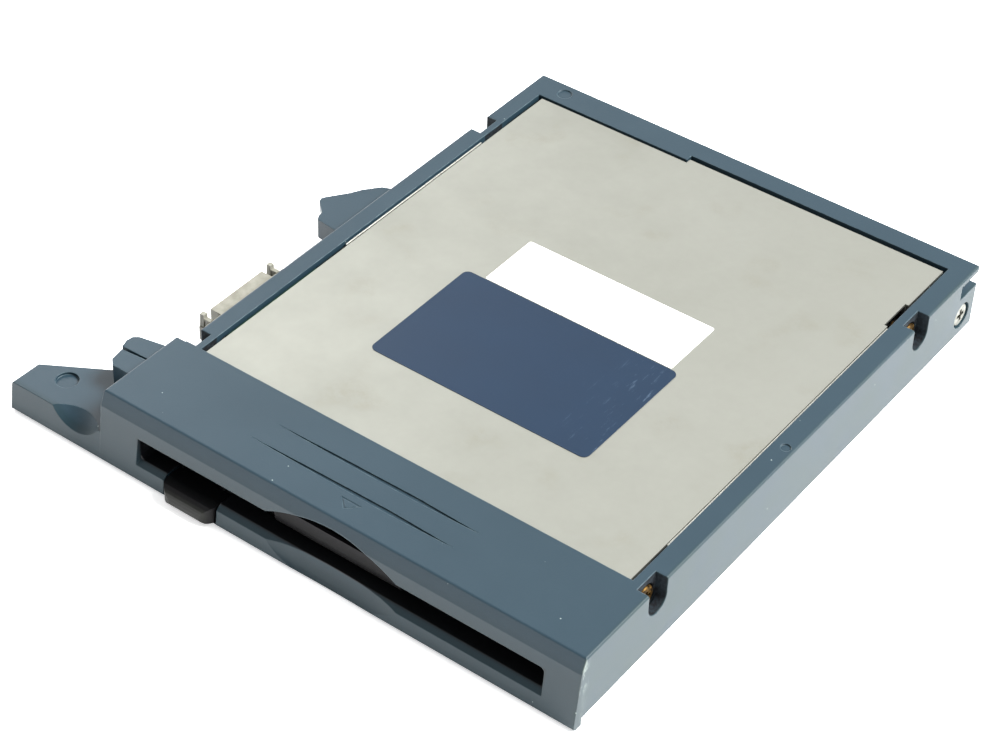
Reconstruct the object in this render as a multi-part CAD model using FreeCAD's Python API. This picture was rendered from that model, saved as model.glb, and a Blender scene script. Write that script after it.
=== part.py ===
import FreeCAD, Part
import math
import os

# Slim 3.5-inch floppy disk drive in a moulded bay case, with a docking connector on its left side.
# Frame: X to the right along the front, Y rearwards, Z up. X = Y = 0 is the spindle axis and Z = 0 is
# the flat underside of the case. All sizes are in millimetres.

V = FreeCAD.Vector

# ---------------------------------------------------------------- driving dimensions
# the disk that everything is built round
DISK_WIDTH = 90.0
DISK_LENGTH = 94.0
DISK_THICKNESS = 3.3
HUB_TO_LABEL_EDGE = 46.0
HEAD_OUTER_Y = 39.7          # head centre at the outermost track
HEAD_TRAVEL = 14.8

# clearances and fits
WORKING_GAP = 0.3            # between parts that move past each other
RUNNING_FIT = 0.05           # shafts and pins in their bores
DISK_SIDE_GAP = 0.3          # disk to carrier wall
DISK_ROOM = 0.9              # over a disk in the carrier
SLOT_SIDE_GAP = 0.75         # disk to the end of the slot
RAIL_GAP = 0.6               # lid of the drive to the case window, at the sides
REAR_GAP = 1.2               # and at the rear
REAR_STEP = 0.9              # rear edge of the window: forward at the left, back at the right
LIP_ROOM = 0.5               # wider gap at the left
LID_RECESS = 0.3             # lid of the drive below the top strips

# sheet and wall thicknesses
CARRIER_SHEET = 0.4          # carrier and slider
CHASSIS_WALL = 0.6
DRIVE_SHEET = 0.5            # lid and floor of the drive
BOTTOM_SHEET = 0.8           # bottom cover of the case
CASE_WALL = 1.6              # side and rear walls of the case
CASE_STRIP = 1.3             # top strips of the case
FRONT_WALL = 2.2             # front wall at its thinnest, under the top edge

# case moulding
SIDE_CHANNEL = 3.4           # between drive and side wall
REAR_RAIL = 5.85             # width of the rear strip
BEZEL_DEPTH = 19.5           # front block, along Y
BEZEL_STEP = 2.15            # front block stands out past the left wall
DOOR_ROOM = 1.8              # between front wall and a loaded disk
BAND_DEPTH = 1.3             # sloping band under the top front edge
BAND_HEIGHT = 3.0
FACE_FOOT = 2.9              # how far the face leans out at its foot
LIP_DROP = 1.7               # lower lip under the flat underside
LIP_DEPTH = 2.3
EDGE_ROUND = 0.45
ARCH_X = -0.6                # finger arch over the slot
ARCH_HALF = 14.8
ARCH_RISE = 3.7
SCOOP_HALF = 15.0            # finger scoop under the slot
SCOOP_DEPTH = 4.0
EAR_REACH = 25.0             # tip of the ear, from the left wall
EAR_TOP = 5.0
HOOK_HEIGHT = 4.6

# mechanism
DRIVE_LIFT = 0.1             # drive over the bottom cover
MOTOR_BOARD = 0.4
ROTOR_R = 17.0
SPINDLE_R = 1.5
BEARING_R = 2.4
DISK_DROP = 1.3              # from the raised carrier down on to the hub
EJECT_TRAVEL = 4.0
GUIDE_PIN_R = 0.7
DOOR_PIN_R = 0.7
CARRIAGE_LENGTH = 7.4
NUT_LENGTH = 0.6
LEAD_SCREW_R = 1.0
GUIDE_ROD_R = 1.25
ROD_CLAMP = 1.2
PLUNGER_TRAVEL = 0.5
ARM_THICKNESS = 0.6

# ---------------------------------------------------------------- places worked out from them
# along X, outwards from the disk
SLOT_WIDTH = DISK_WIDTH + 2 * SLOT_SIDE_GAP
CARRIER_X = DISK_WIDTH / 2 + DISK_SIDE_GAP + CARRIER_SHEET
SLIDER_X = CARRIER_X + WORKING_GAP + 0.1 + CARRIER_SHEET
CHASSIS_X = SLIDER_X + WORKING_GAP + CHASSIS_WALL
DRIVE_X = CHASSIS_X + 0.1 + DRIVE_SHEET
WINDOW_X = DRIVE_X + RAIL_GAP
REAR_STEP_X = -11.6          # where window and lid step at the rear
INNER_X = DRIVE_X + SIDE_CHANNEL
SIDE_X = INNER_X + CASE_WALL

# along Y: forwards to the front wall, and rearwards past the disk and the head carriage
INNER_FRONT_Y = -HUB_TO_LABEL_EDGE - DOOR_ROOM
FRONT_Y = INNER_FRONT_Y - FRONT_WALL
FACE_FOOT_Y = FRONT_Y - FACE_FOOT
BEZEL_REAR_Y = FRONT_Y + BEZEL_DEPTH
CARRIER_FRONT_Y = FRONT_Y + 11.0
SLIDER_FRONT_Y = FRONT_Y + 15.2
CHASSIS_FRONT_Y = FRONT_Y + 6.0
DISK_LEAD_Y = DISK_LENGTH - HUB_TO_LABEL_EDGE
CARRIER_REAR_Y = DISK_LEAD_Y + CARRIER_SHEET
LEVER_PIN_ROOM = 2.5         # for the shutter lever's pin, between carrier and head carriage
CARRIAGE_INNER_Y = CARRIER_REAR_Y + LEVER_PIN_ROOM
CARRIAGE_FRONT_Y = CARRIAGE_INNER_Y + HEAD_TRAVEL
CARRIAGE_REAR_Y = CARRIAGE_FRONT_Y + CARRIAGE_LENGTH
CHASSIS_INNER_Y = CARRIAGE_REAR_Y + WORKING_GAP + ROD_CLAMP + 0.1
CHASSIS_REAR_Y = CHASSIS_INNER_Y + CHASSIS_WALL
DRIVE_REAR = CHASSIS_REAR_Y + DRIVE_SHEET
RAIL_Y = DRIVE_REAR + REAR_GAP
REAR_Y = RAIL_Y + REAR_RAIL

# along Z, up from the underside
DRIVE_BASE = BOTTOM_SHEET + DRIVE_LIFT
FLOOR_Z = DRIVE_BASE + DRIVE_SHEET
ROTOR_WEB = (FLOOR_Z + MOTOR_BOARD + 0.65, FLOOR_Z + MOTOR_BOARD + 0.9)
DISK_LOADED_Z = ROTOR_WEB[1] + 0.3
DISK_RAISED_Z = DISK_LOADED_Z + DISK_DROP
DISK_TOP = DISK_RAISED_Z + DISK_THICKNESS
CARRIER_FLOOR = DISK_RAISED_Z - 0.15
CARRIER_TOP = CARRIER_FLOOR + DISK_THICKNESS + DISK_ROOM + CARRIER_SHEET
SLIDER_TOP = CARRIER_TOP + WORKING_GAP + CARRIER_SHEET
LEVER_Z = SLIDER_TOP + WORKING_GAP + 0.05
ARM_LOW = CARRIER_TOP + 1.35
ARM_PIVOT = (CARRIAGE_REAR_Y - 1.1, ARM_LOW + ARM_THICKNESS / 2)
ARM_HEADROOM = 2.7           # arm pivot to the drive's lid
DRIVE_TOP = ARM_PIVOT[1] + ARM_HEADROOM + DRIVE_SHEET
CASE_HEIGHT = DRIVE_TOP + LID_RECESS
STRIP_Z = CASE_HEIGHT - CASE_STRIP
SLOT_BOTTOM = DISK_RAISED_Z - 1.2
SLOT_TOP = DISK_TOP + 0.5
ARCH_R = (ARCH_HALF ** 2 + ARCH_RISE ** 2) / (2 * ARCH_RISE)
ARCH_AXIS_Z = SLOT_TOP + ARCH_RISE - ARCH_R
HOOK_TOP = CASE_HEIGHT - 3.4
HOOK_BASE = HOOK_TOP - HOOK_HEIGHT
PIN_Z = DISK_RAISED_Z + 1.7
SIDE_SCREW_Z = DRIVE_TOP - 3.6
BOARD_Z = FLOOR_Z + 0.5

# pieces placed from those
DOOR_AXIS = (INNER_FRONT_Y + 1.1, STRIP_Z - 1.2)
PIN_YS = (SLIDER_FRONT_Y + 6.8, DISK_LEAD_Y - 12.0)
LEVER_POST = (CARRIER_X - 3.7, CARRIER_REAR_Y + 8.6)
LEVER_PIN = (LEVER_POST[0] - 9.3, LEVER_POST[1] - 32.0)
SIDE_SCREW_YS = (BEZEL_REAR_Y + 1.4, REAR_Y - 22.85)
COVER_SCREW_R = 0.9
COVER_SCREW_LENGTH = 5.0
COVER_HEAD_R = 1.8
BOSS_HALF = 1.9
COVER_SCREWS = ((-(INNER_X - BOSS_HALF), INNER_FRONT_Y + BOSS_HALF),
                (INNER_X - BOSS_HALF, INNER_FRONT_Y + BOSS_HALF),
                (-(INNER_X - 11.4), REAR_Y - CASE_WALL - BOSS_HALF),
                (0.0, REAR_Y - CASE_WALL - BOSS_HALF),
                (INNER_X - 13.4, REAR_Y - CASE_WALL - BOSS_HALF))
REAR_SCREW = (REAR_Y - 5.05, 4.5)     # Y and Z of the screw in the right wall
REAR_SCREW_HEAD_R = 2.4
REAR_BLOCK_X = INNER_X - 5.8          # block behind the right rear corner
REAR_BLOCK_TOP = STRIP_Z - 3.2
SCREW_X = 15.0                        # lead screw and stepper motor axis
SCREW_Z = FLOOR_Z + 5.0
ROD_X = -8.0
ROD_Z = FLOOR_Z + 4.2
SPRING_X = CARRIER_X - 1.1
SPRING_Y = (SLIDER_FRONT_Y - 1.7, SLIDER_FRONT_Y + 24.3)
SPRING_Z = SLIDER_TOP + 1.05
CONNECTOR_Y = (-17.2, -2.3)
CONNECTOR_Z = (5.0, 10.0)
RIBBON_Y = CARRIER_REAR_Y + 2.2
RIBBON_Z = (BOARD_Z + 1.0, BOARD_Z + 5.3)
BUTTON_X = (-39.0, -26.8)
BUTTON_Z = (-0.9, SLOT_BOTTOM - WORKING_GAP)   # front skirt
BUTTON_REACH = 1.6                    # front of the button, out past the foot of the face
BUTTON_BASE = 0.9                     # underside behind the skirt
SKIRT_REAR_Y = FACE_FOOT_Y + 1.5
FLAG_Z = FLOOR_Z + 2.1                # flag on the carriage, in the track-zero sensor
BOARD_EDGES = (-(CHASSIS_X - CHASSIS_WALL - 0.8), CARRIER_REAR_Y + 1.4, -(CHASSIS_X - 25.9),
               CHASSIS_INNER_Y - 0.4)
SLIDER_FOOT_Y = (FRONT_Y + 9.0, FRONT_Y + 14.0)
SLIDER_FOOT_Z = (FLOOR_Z + WORKING_GAP, FLOOR_Z + WORKING_GAP + CARRIER_SHEET)
PLUNGERS = ((DISK_WIDTH / 2 - 15.0, 9.0 - HUB_TO_LABEL_EDGE),
            (DISK_WIDTH / 2 - 8.0, 9.0 - HUB_TO_LABEL_EDGE))

PIECES = {}


# ---------------------------------------------------------------- solids by corner, axis or outline
def box(x0, y0, z0, x1, y1, z1):
    return Part.makeBox(x1 - x0, y1 - y0, z1 - z0, V(x0, y0, z0))


def rod_z(x, y, z0, z1, radius):
    return Part.makeCylinder(radius, z1 - z0, V(x, y, z0), V(0, 0, 1))


def rod_y(x, z, y0, y1, radius):
    return Part.makeCylinder(radius, y1 - y0, V(x, y0, z), V(0, 1, 0))


def rod_x(y, z, x0, x1, radius):
    return Part.makeCylinder(radius, x1 - x0, V(x0, y, z), V(1, 0, 0))


def tube_z(x, y, z0, z1, outer, inner):
    return rod_z(x, y, z0, z1, outer).cut(rod_z(x, y, z0 - 1, z1 + 1, inner))


def plate_xy(points, z0, z1):
    corners = [V(x, y, z0) for x, y in points]
    return Part.Face(Part.makePolygon(corners + corners[:1])).extrude(V(0, 0, z1 - z0))


def plate_yz(points, x0, x1):
    corners = [V(x0, y, z) for y, z in points]
    return Part.Face(Part.makePolygon(corners + corners[:1])).extrude(V(x1 - x0, 0, 0))


def plate_xz(points, y0, y1):
    corners = [V(x, y0, z) for x, z in points]
    return Part.Face(Part.makePolygon(corners + corners[:1])).extrude(V(0, y1 - y0, 0))


def rounded_plate(x0, y0, x1, y1, z0, z1, radius):
    solid = box(x0, y0, z0, x1, y1, z1)
    upright = [e for e in solid.Edges if abs(e.tangentAt(e.FirstParameter).z) > 0.9]
    return solid.makeFillet(radius, upright)


def join(shapes):
    shapes = list(shapes)
    whole = shapes[0]
    for shape in shapes[1:]:
        whole = whole.fuse(shape)
    return whole.removeSplitter()


def minus(shape, cutters):
    for cutter in cutters:
        shape = shape.cut(cutter)
    return shape


def mirror_x(shape):
    return shape.mirror(V(0, 0, 0), V(1, 0, 0))


def both_sides(shape):
    return [shape, mirror_x(shape)]


def group(solids):
    return Part.makeCompound(list(solids))


def edges_where(shape, test):
    return [e for e in shape.Edges if test(e.BoundBox)]


def piece(name, shape):
    PIECES[name] = shape


# ---------------------------------------------------------------- case moulding
def face_outline():
    """Front block in side view: sloping band, leaning face, dropped lip."""
    lip_round = 0.7
    band_y = FRONT_Y - BAND_DEPTH
    return [
        (FRONT_Y, CASE_HEIGHT),
        (band_y, CASE_HEIGHT - BAND_HEIGHT),
        (FACE_FOOT_Y, -LIP_DROP + lip_round),
        (FACE_FOOT_Y + lip_round, -LIP_DROP),
        (FACE_FOOT_Y + LIP_DEPTH, -LIP_DROP),
        (FACE_FOOT_Y + LIP_DEPTH, 0.0),
        (BEZEL_REAR_Y, 0.0),
        (BEZEL_REAR_Y, CASE_HEIGHT),
    ]


def face_y(z):
    """Y of the leaning face at a height."""
    z_top = CASE_HEIGHT - BAND_HEIGHT
    lean = (FACE_FOOT - BAND_DEPTH) / (z_top + LIP_DROP)
    return FRONT_Y - BAND_DEPTH - (z_top - z) * lean


def case_outside():
    """Front block and body, with every outer top edge and the front corners rounded."""
    bezel = plate_yz(face_outline(), -SIDE_X - BEZEL_STEP, SIDE_X)
    body = box(-SIDE_X, BEZEL_REAR_Y, 0, SIDE_X, REAR_Y, CASE_HEIGHT)
    solid = join([bezel, body])

    def rear_corner(b):
        return b.ZLength > CASE_HEIGHT / 2 and b.YMin > REAR_Y - 0.01

    solid = solid.makeFillet(EDGE_ROUND, edges_where(solid, rear_corner))

    def outer_top(b):
        return b.ZLength < 0.01 and abs(b.ZMax - CASE_HEIGHT) < 0.01

    return solid.makeFillet(EDGE_ROUND, edges_where(solid, outer_top))


def ear_plan():
    """The ear from above: a wedge that runs back to the rear of the front block."""
    tip_x = -SIDE_X - EAR_REACH
    tip_rear_y = FRONT_Y + 4.5
    root_x = -SIDE_X - BEZEL_STEP
    root_y = BEZEL_REAR_Y - 1.1
    return [(tip_x, FACE_FOOT_Y - 1), (tip_x + 0.2, tip_rear_y), (root_x, root_y),
            (root_x, FACE_FOOT_Y - 1)]


def ear():
    """Solid outside, hollow from below, with a finger scoop and a round locating recess."""
    tip_x = -SIDE_X - EAR_REACH
    root_x = -SIDE_X - BEZEL_STEP
    wall = 1.8
    recess_r, recess_depth = 2.25, 0.6
    scoop_r = 9.0
    front = [(y, min(z, EAR_TOP)) for y, z in face_outline()[2:]]
    front = [(face_y(EAR_TOP), EAR_TOP)] + front
    front[-3] = (FACE_FOOT_Y + LIP_DEPTH, -LIP_DROP)
    slab = plate_yz([(y, -LIP_DROP if z == 0.0 else z) for y, z in front], tip_x, root_x)
    slab = slab.common(plate_xy(ear_plan(), -LIP_DROP - 1, EAR_TOP))
    slab = slab.makeFillet(EDGE_ROUND, edges_where(slab, lambda b: b.ZLength < 0.01
                                                    and b.ZMin > EAR_TOP - 0.01
                                                    and b.XMax < root_x - 0.01))
    hollow = plate_xy([(tip_x + wall, FACE_FOOT_Y + wall + 1.2), (tip_x + wall, FRONT_Y + 3.6),
                       (root_x - wall, BEZEL_REAR_Y - 4.5), (root_x - wall, FACE_FOOT_Y + wall + 1.2)],
                      -LIP_DROP - 1, EAR_TOP - 2 * wall)
    scoop = Part.makeSphere(scoop_r, V(root_x - 6.4, FRONT_Y - 7.2, EAR_TOP + 4.5))
    recess = rod_z(-SIDE_X - 17.1, FRONT_Y + 4.7, EAR_TOP - recess_depth, EAR_TOP + 1, recess_r)
    return minus(slab, [hollow, scoop, recess])


def front_hook():
    """Two lobes with a slit between them, on the ear beside the front block."""
    root = -SIDE_X - BEZEL_STEP
    lobe_a = [(root + 1, FRONT_Y + 8.7), (root - 6.6, FRONT_Y + 8.7), (root - 7.8, FRONT_Y + 9.9),
              (root - 8.3, FRONT_Y + 13.1), (root - 2.9, FRONT_Y + 13.6), (root + 1, FRONT_Y + 13.7)]
    lobe_b = [(root + 1, FRONT_Y + 14.2), (root - 2.9, FRONT_Y + 14.0), (root - 8.9, FRONT_Y + 13.8),
              (root - 9.4, FRONT_Y + 15.6), (root - 9.2, FRONT_Y + 17.0), (root - 8.2, FRONT_Y + 17.8),
              (root - 2.9, FRONT_Y + 18.9), (root + 1, FRONT_Y + 19.3)]
    base = [(root + 1, FRONT_Y + 8.7), (root - 6.6, FRONT_Y + 8.7), (root - 7.8, FRONT_Y + 9.9),
            (root - 9.0, FRONT_Y + 16.5), (root + 1, FRONT_Y + 18.6)]
    slit_depth = 1.2
    return join([plate_xy(lobe_a, EAR_TOP - 1, HOOK_TOP), plate_xy(lobe_b, HOOK_BASE, HOOK_TOP),
                 plate_xy(base, EAR_TOP - 1, HOOK_TOP - slit_depth)])


def rear_hook():
    """Hook on the left wall: a thick front lobe, a thin swept rear lobe, and a rib under its root."""
    notch_x, notch_y = -SIDE_X - 8.4, 19.1
    root_x, root_y = -SIDE_X + 1, 34.0
    tail_thickness = 2.4
    lobe = [(root_x, 15.8), (-SIDE_X - 7.7, 16.9), (-SIDE_X - 8.3, 17.9), (notch_x, notch_y),
            (root_x, notch_y + 1.5)]
    tail = [(root_x, notch_y - 1.0), (notch_x, notch_y), (-SIDE_X - 10.3, 20.8), (-SIDE_X - 11.3, 21.7),
            (-SIDE_X - 11.65, 22.7), (-SIDE_X - 11.25, 23.5), (-SIDE_X - 8.3, 27.6),
            (-SIDE_X - 6.9, 30.2), (-SIDE_X - 4.4, 33.3), (-SIDE_X - 2.8, root_y), (root_x, root_y)]
    rib = box(-SIDE_X - 2.4, notch_y, HOOK_BASE, root_x, root_y - 2.0, HOOK_TOP - 1.0)
    return join([plate_xy(lobe, HOOK_BASE, HOOK_TOP), plate_xy(tail, HOOK_TOP - tail_thickness, HOOK_TOP),
                 rib])


def slot_cutters():
    """The disk slot, the soft flare round its mouth, the finger arch and the finger scoop."""
    half = SLOT_WIDTH / 2
    past = FACE_FOOT_Y - 2
    corner = 1.0
    slot = box(-half, past, SLOT_BOTTOM, half, INNER_FRONT_Y + 1, SLOT_TOP)
    along = edges_where(slot, lambda b: b.YLength > 1)
    slot = slot.makeFillet(corner, along)

    flare_side, flare_drop, flare_depth = 0.7, 0.6, 1.0
    flare_y = face_y(SLOT_BOTTOM)
    mouth = Part.makePolygon([V(-half - flare_side, flare_y - 1, SLOT_BOTTOM - flare_drop - 1),
                              V(half + 0.3, flare_y - 1, SLOT_BOTTOM - flare_drop - 1),
                              V(half + 0.3, flare_y - 1, SLOT_TOP),
                              V(-half - flare_side, flare_y - 1, SLOT_TOP),
                              V(-half - flare_side, flare_y - 1, SLOT_BOTTOM - flare_drop - 1)])
    throat = Part.makePolygon([V(-half, flare_y + flare_depth, SLOT_BOTTOM),
                               V(half, flare_y + flare_depth, SLOT_BOTTOM),
                               V(half, flare_y + flare_depth, SLOT_TOP),
                               V(-half, flare_y + flare_depth, SLOT_TOP),
                               V(-half, flare_y + flare_depth, SLOT_BOTTOM)])
    flare = Part.makeLoft([mouth, throat], True)
    flare = flare.makeFillet(corner, edges_where(flare, lambda b: b.YLength > flare_depth and b.XMin > 0
                                                 and b.ZMax > SLOT_TOP - 0.01 and b.XLength < 1))

    arch = rod_y(ARCH_X, ARCH_AXIS_Z, past, INNER_FRONT_Y + 1, ARCH_R)
    arch = arch.common(box(-ARCH_HALF - 2, past, SLOT_TOP - 0.2, ARCH_HALF + 2, INNER_FRONT_Y + 1,
                           CASE_HEIGHT))

    stretch = FreeCAD.Matrix()
    stretch.scale(V(SCOOP_HALF + 4.6, 3.0, SCOOP_DEPTH + 3.5))
    scoop = Part.makeSphere(1.0).transformGeometry(stretch)
    scoop.translate(V(0, face_y(0) - 1.4, SLOT_BOTTOM + 1.9))
    scoop = scoop.common(box(-SIDE_X, past - 5, -LIP_DROP, SIDE_X, INNER_FRONT_Y, SLOT_TOP - 1))
    return [slot, flare, arch, scoop]


def button_recess():
    """Pocket in the front wall for the button, deeper in front where its skirt hangs."""
    x0, x1 = BUTTON_X[0] - WORKING_GAP, BUTTON_X[1] + WORKING_GAP
    top = SLOT_BOTTOM + 1
    return join([box(x0, FACE_FOOT_Y - 2, BUTTON_Z[0] - WORKING_GAP, x1, SKIRT_REAR_Y + WORKING_GAP, top),
                 box(x0, FACE_FOOT_Y - 2, BUTTON_BASE - WORKING_GAP, x1, INNER_FRONT_Y + 1, top)])


def top_marks():
    """Two long tapered grooves and a shallow arrow on the front block, and two moulding marks."""
    groove_depth, groove_half, groove_len = 0.35, 0.45, 46.0
    cutters = []
    for x0, y0 in ((-24.3, FRONT_Y + 12.4), (-26.0, FRONT_Y + 6.9)):
        lens = [(x0, y0), (x0 + groove_len * 0.35, y0 - groove_half * 0.7),
                (x0 + groove_len * 0.7, y0 - groove_half), (x0 + groove_len, y0),
                (x0 + groove_len * 0.7, y0 + groove_half), (x0 + groove_len * 0.35, y0 + groove_half * 0.7)]
        cutters.append(plate_xy(lens, CASE_HEIGHT - groove_depth, CASE_HEIGHT + 1))
    arrow_depth, arrow_y, arrow_half, arrow_line = 0.08, FRONT_Y + 2.7, 2.3, 0.3
    arrow_x = -1.0
    arrow = [(arrow_x - arrow_half, arrow_y + arrow_half), (arrow_x, arrow_y),
             (arrow_x + arrow_half, arrow_y + arrow_half)]
    inside = [(arrow_x - arrow_half + 2 * arrow_line, arrow_y + arrow_half - arrow_line),
              (arrow_x, arrow_y + 1.5 * arrow_line),
              (arrow_x + arrow_half - 2 * arrow_line, arrow_y + arrow_half - arrow_line)]
    outline = plate_xy(arrow, CASE_HEIGHT - arrow_depth, CASE_HEIGHT + 1)
    cutters.append(outline.cut(plate_xy(inside, CASE_HEIGHT - 1, CASE_HEIGHT + 2)))
    mark_depth = 0.25
    for x, y, r in ((-45.0, REAR_Y - 3.3, 1.6), (51.2, 14.0, 1.0)):
        cutters.append(rod_z(x, y, CASE_HEIGHT - mark_depth, CASE_HEIGHT + 1, r))
    return cutters


def side_notches():
    """U-shaped notches over the four screws that hold the drive."""
    half, depth, low = 2.85, 2.6, 7.7
    cutters = []
    for y in SIDE_SCREW_YS:
        u = join([box(SIDE_X - depth, y - half, low + half, SIDE_X + 5, y + half, CASE_HEIGHT + 1),
                  rod_x(y, low + half, SIDE_X - depth, SIDE_X + 5, half)])
        cutters.append(u)
        left = mirror_x(u).common(box(-SIDE_X - 5, BEZEL_REAR_Y, 0, 0, REAR_Y, CASE_HEIGHT + 2))
        cutters.append(left)
    return cutters


def drive_bosses():
    """Blocks inside the side walls that the drive is screwed to, bored for screw and head."""
    half, hole_r, head_r, head_floor = 4.2, 1.35, 2.6, 1.3
    face = DRIVE_X + 0.1
    solids, holes = [], []
    for y in SIDE_SCREW_YS:
        block = box(face, y - half, 1.0, INNER_X + 0.5, y + half, CASE_HEIGHT - CASE_STRIP / 2)
        solids += both_sides(block)
        hole = join([rod_x(y, SIDE_SCREW_Z, face - 1, SIDE_X + 5, hole_r),
                     rod_x(y, SIDE_SCREW_Z, face + head_floor, SIDE_X - 2.0, head_r)])
        holes += both_sides(hole)
    return solids, holes


def cover_bosses():
    """Posts for the bottom cover's screws: two in the front corners and three along the rear."""
    solids, holes = [], []
    for x, y in COVER_SCREWS:
        solids.append(box(x - BOSS_HALF, y - BOSS_HALF, BOTTOM_SHEET, x + BOSS_HALF, y + BOSS_HALF,
                          STRIP_Z + 0.2))
        holes.append(rod_z(x, y, -1, COVER_SCREW_LENGTH + 0.4, COVER_SCREW_R))
    return solids, holes


def case_frame():
    cavity = box(-INNER_X, INNER_FRONT_Y, -LIP_DROP - 1, INNER_X, REAR_Y - CASE_WALL, STRIP_Z)
    low, high = STRIP_Z - 1, CASE_HEIGHT + 1
    window = join([box(-WINDOW_X - LIP_ROOM, BEZEL_REAR_Y, low, WINDOW_X, RAIL_Y - REAR_STEP, high),
                   box(REAR_STEP_X, BEZEL_REAR_Y, low, WINDOW_X, RAIL_Y + REAR_STEP, high)])
    shell = join([case_outside(), ear(), front_hook(), rear_hook()])
    shell = shell.cut(cavity)

    boss_solids, boss_holes = drive_bosses()
    post_solids, post_holes = cover_bosses()
    ring_gap = 0.45
    y, z = REAR_SCREW
    screw_block = box(DRIVE_X + 0.1, y - 3.9, BOTTOM_SHEET, INNER_X + 0.5, REAR_Y - 0.8, REAR_BLOCK_TOP)
    rear_block = box(REAR_BLOCK_X, DRIVE_REAR + 1.3, BOTTOM_SHEET, INNER_X, REAR_Y - 0.8, REAR_BLOCK_TOP)
    screw_hole = join([rod_x(y, z, DRIVE_X, SIDE_X + 1, 1.05),
                       rod_x(y, z, SIDE_X - 1.5, SIDE_X + 1, REAR_SCREW_HEAD_R + ring_gap)])
    lug = box(DISK_WIDTH / 2 + 0.4, INNER_FRONT_Y - 0.2, DOOR_AXIS[1] - 1.5, DISK_WIDTH / 2 + 2.2,
              DOOR_AXIS[0] + 1.6, STRIP_Z + 0.2)
    lug_bore = rod_x(*DOOR_AXIS, DISK_WIDTH / 2 - 1, DISK_WIDTH / 2 + 3, DOOR_PIN_R + RUNNING_FIT)
    shell = join([shell] + boss_solids + post_solids + [screw_block, rear_block] + both_sides(lug))

    rear_cut = box(REAR_BLOCK_X + 1.4, REAR_Y - 6.9, REAR_BLOCK_TOP, SIDE_X + 5, REAR_Y + 5, STRIP_Z)
    connector_window = box(-SIDE_X - 1, CONNECTOR_Y[0] - 5, CONNECTOR_Z[0] - 0.3, -INNER_X + 0.5,
                           CONNECTOR_Y[1] + 5, CONNECTOR_Z[1] + 0.3)
    cutters = slot_cutters() + [button_recess()] + top_marks() + side_notches() + boss_holes
    cutters += post_holes + [window, screw_hole, rear_cut, connector_window] + both_sides(lug_bore)
    piece("case_frame", minus(shell, cutters))


def bottom_cover():
    """Steel sheet let into the underside, with countersunk screw holes."""
    gap = 0.1
    sheet = box(-INNER_X + gap, INNER_FRONT_Y + gap, 0, INNER_X - gap, REAR_Y - CASE_WALL - gap,
                BOTTOM_SHEET)
    holes = []
    for x, y in COVER_SCREWS:
        holes.append(Part.makeCone(COVER_HEAD_R + 0.05, COVER_SCREW_R + 0.05, BOTTOM_SHEET, V(x, y, 0)))
    piece("bottom_cover", minus(sheet, holes))


def cross_recess(x, y, z, direction, size, depth):
    """Cross-shaped driver recess, as a cutter, at a screw head's face."""
    arm = size * 0.16
    if direction.x:
        x0, x1 = sorted((x, x - direction.x * depth))
        return join([box(x0 - 0.01, y - size / 2, z - arm, x1 + 0.01, y + size / 2, z + arm),
                     box(x0 - 0.01, y - arm, z - size / 2, x1 + 0.01, y + arm, z + size / 2)])
    z0, z1 = sorted((z, z - direction.z * depth))
    return join([box(x - size / 2, y - arm, z0 - 0.01, x + size / 2, y + arm, z1 + 0.01),
                 box(x - arm, y - size / 2, z0 - 0.01, x + arm, y + size / 2, z1 + 0.01)])


def case_screws():
    screws = []
    for x, y in COVER_SCREWS:
        head = Part.makeCone(COVER_HEAD_R, COVER_SCREW_R, BOTTOM_SHEET, V(x, y, 0))
        shank = rod_z(x, y, BOTTOM_SHEET - 0.01, COVER_SCREW_LENGTH, COVER_SCREW_R)
        screws.append(join([head, shank]).cut(cross_recess(x, y, 0, V(0, 0, -1), 2.0, 0.6)))
    piece("cover_screws", group(screws))

    y, z = REAR_SCREW
    head = rod_x(y, z, SIDE_X - 1.5, SIDE_X - 0.25, REAR_SCREW_HEAD_R)
    head = head.makeFillet(0.3, edges_where(head, lambda b: b.XMin > SIDE_X - 0.3 and b.XLength < 0.01))
    shank = rod_x(y, z, DRIVE_X + 0.4, SIDE_X - 1.49, 1.0)
    screw = join([head, shank]).cut(cross_recess(SIDE_X - 0.25, y, z, V(1, 0, 0), 2.6, 0.8))
    piece("side_wall_screw", screw)

    drive_screws = []
    for y in SIDE_SCREW_YS:
        seat = DRIVE_X + 1.4
        head = rod_x(y, SIDE_SCREW_Z, seat, seat + 1.3, 2.2)
        head = head.makeFillet(0.4, edges_where(head, lambda b: b.XMin > seat + 1.2 and b.XLength < 0.01))
        shank = rod_x(y, SIDE_SCREW_Z, SLIDER_X + WORKING_GAP, seat + 0.01, 1.2)
        screw = join([head, shank]).cut(cross_recess(seat + 1.3, y, SIDE_SCREW_Z, V(1, 0, 0), 2.4, 0.7))
        drive_screws += both_sides(screw)
    piece("drive_fixing_screws", group(drive_screws))


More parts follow.
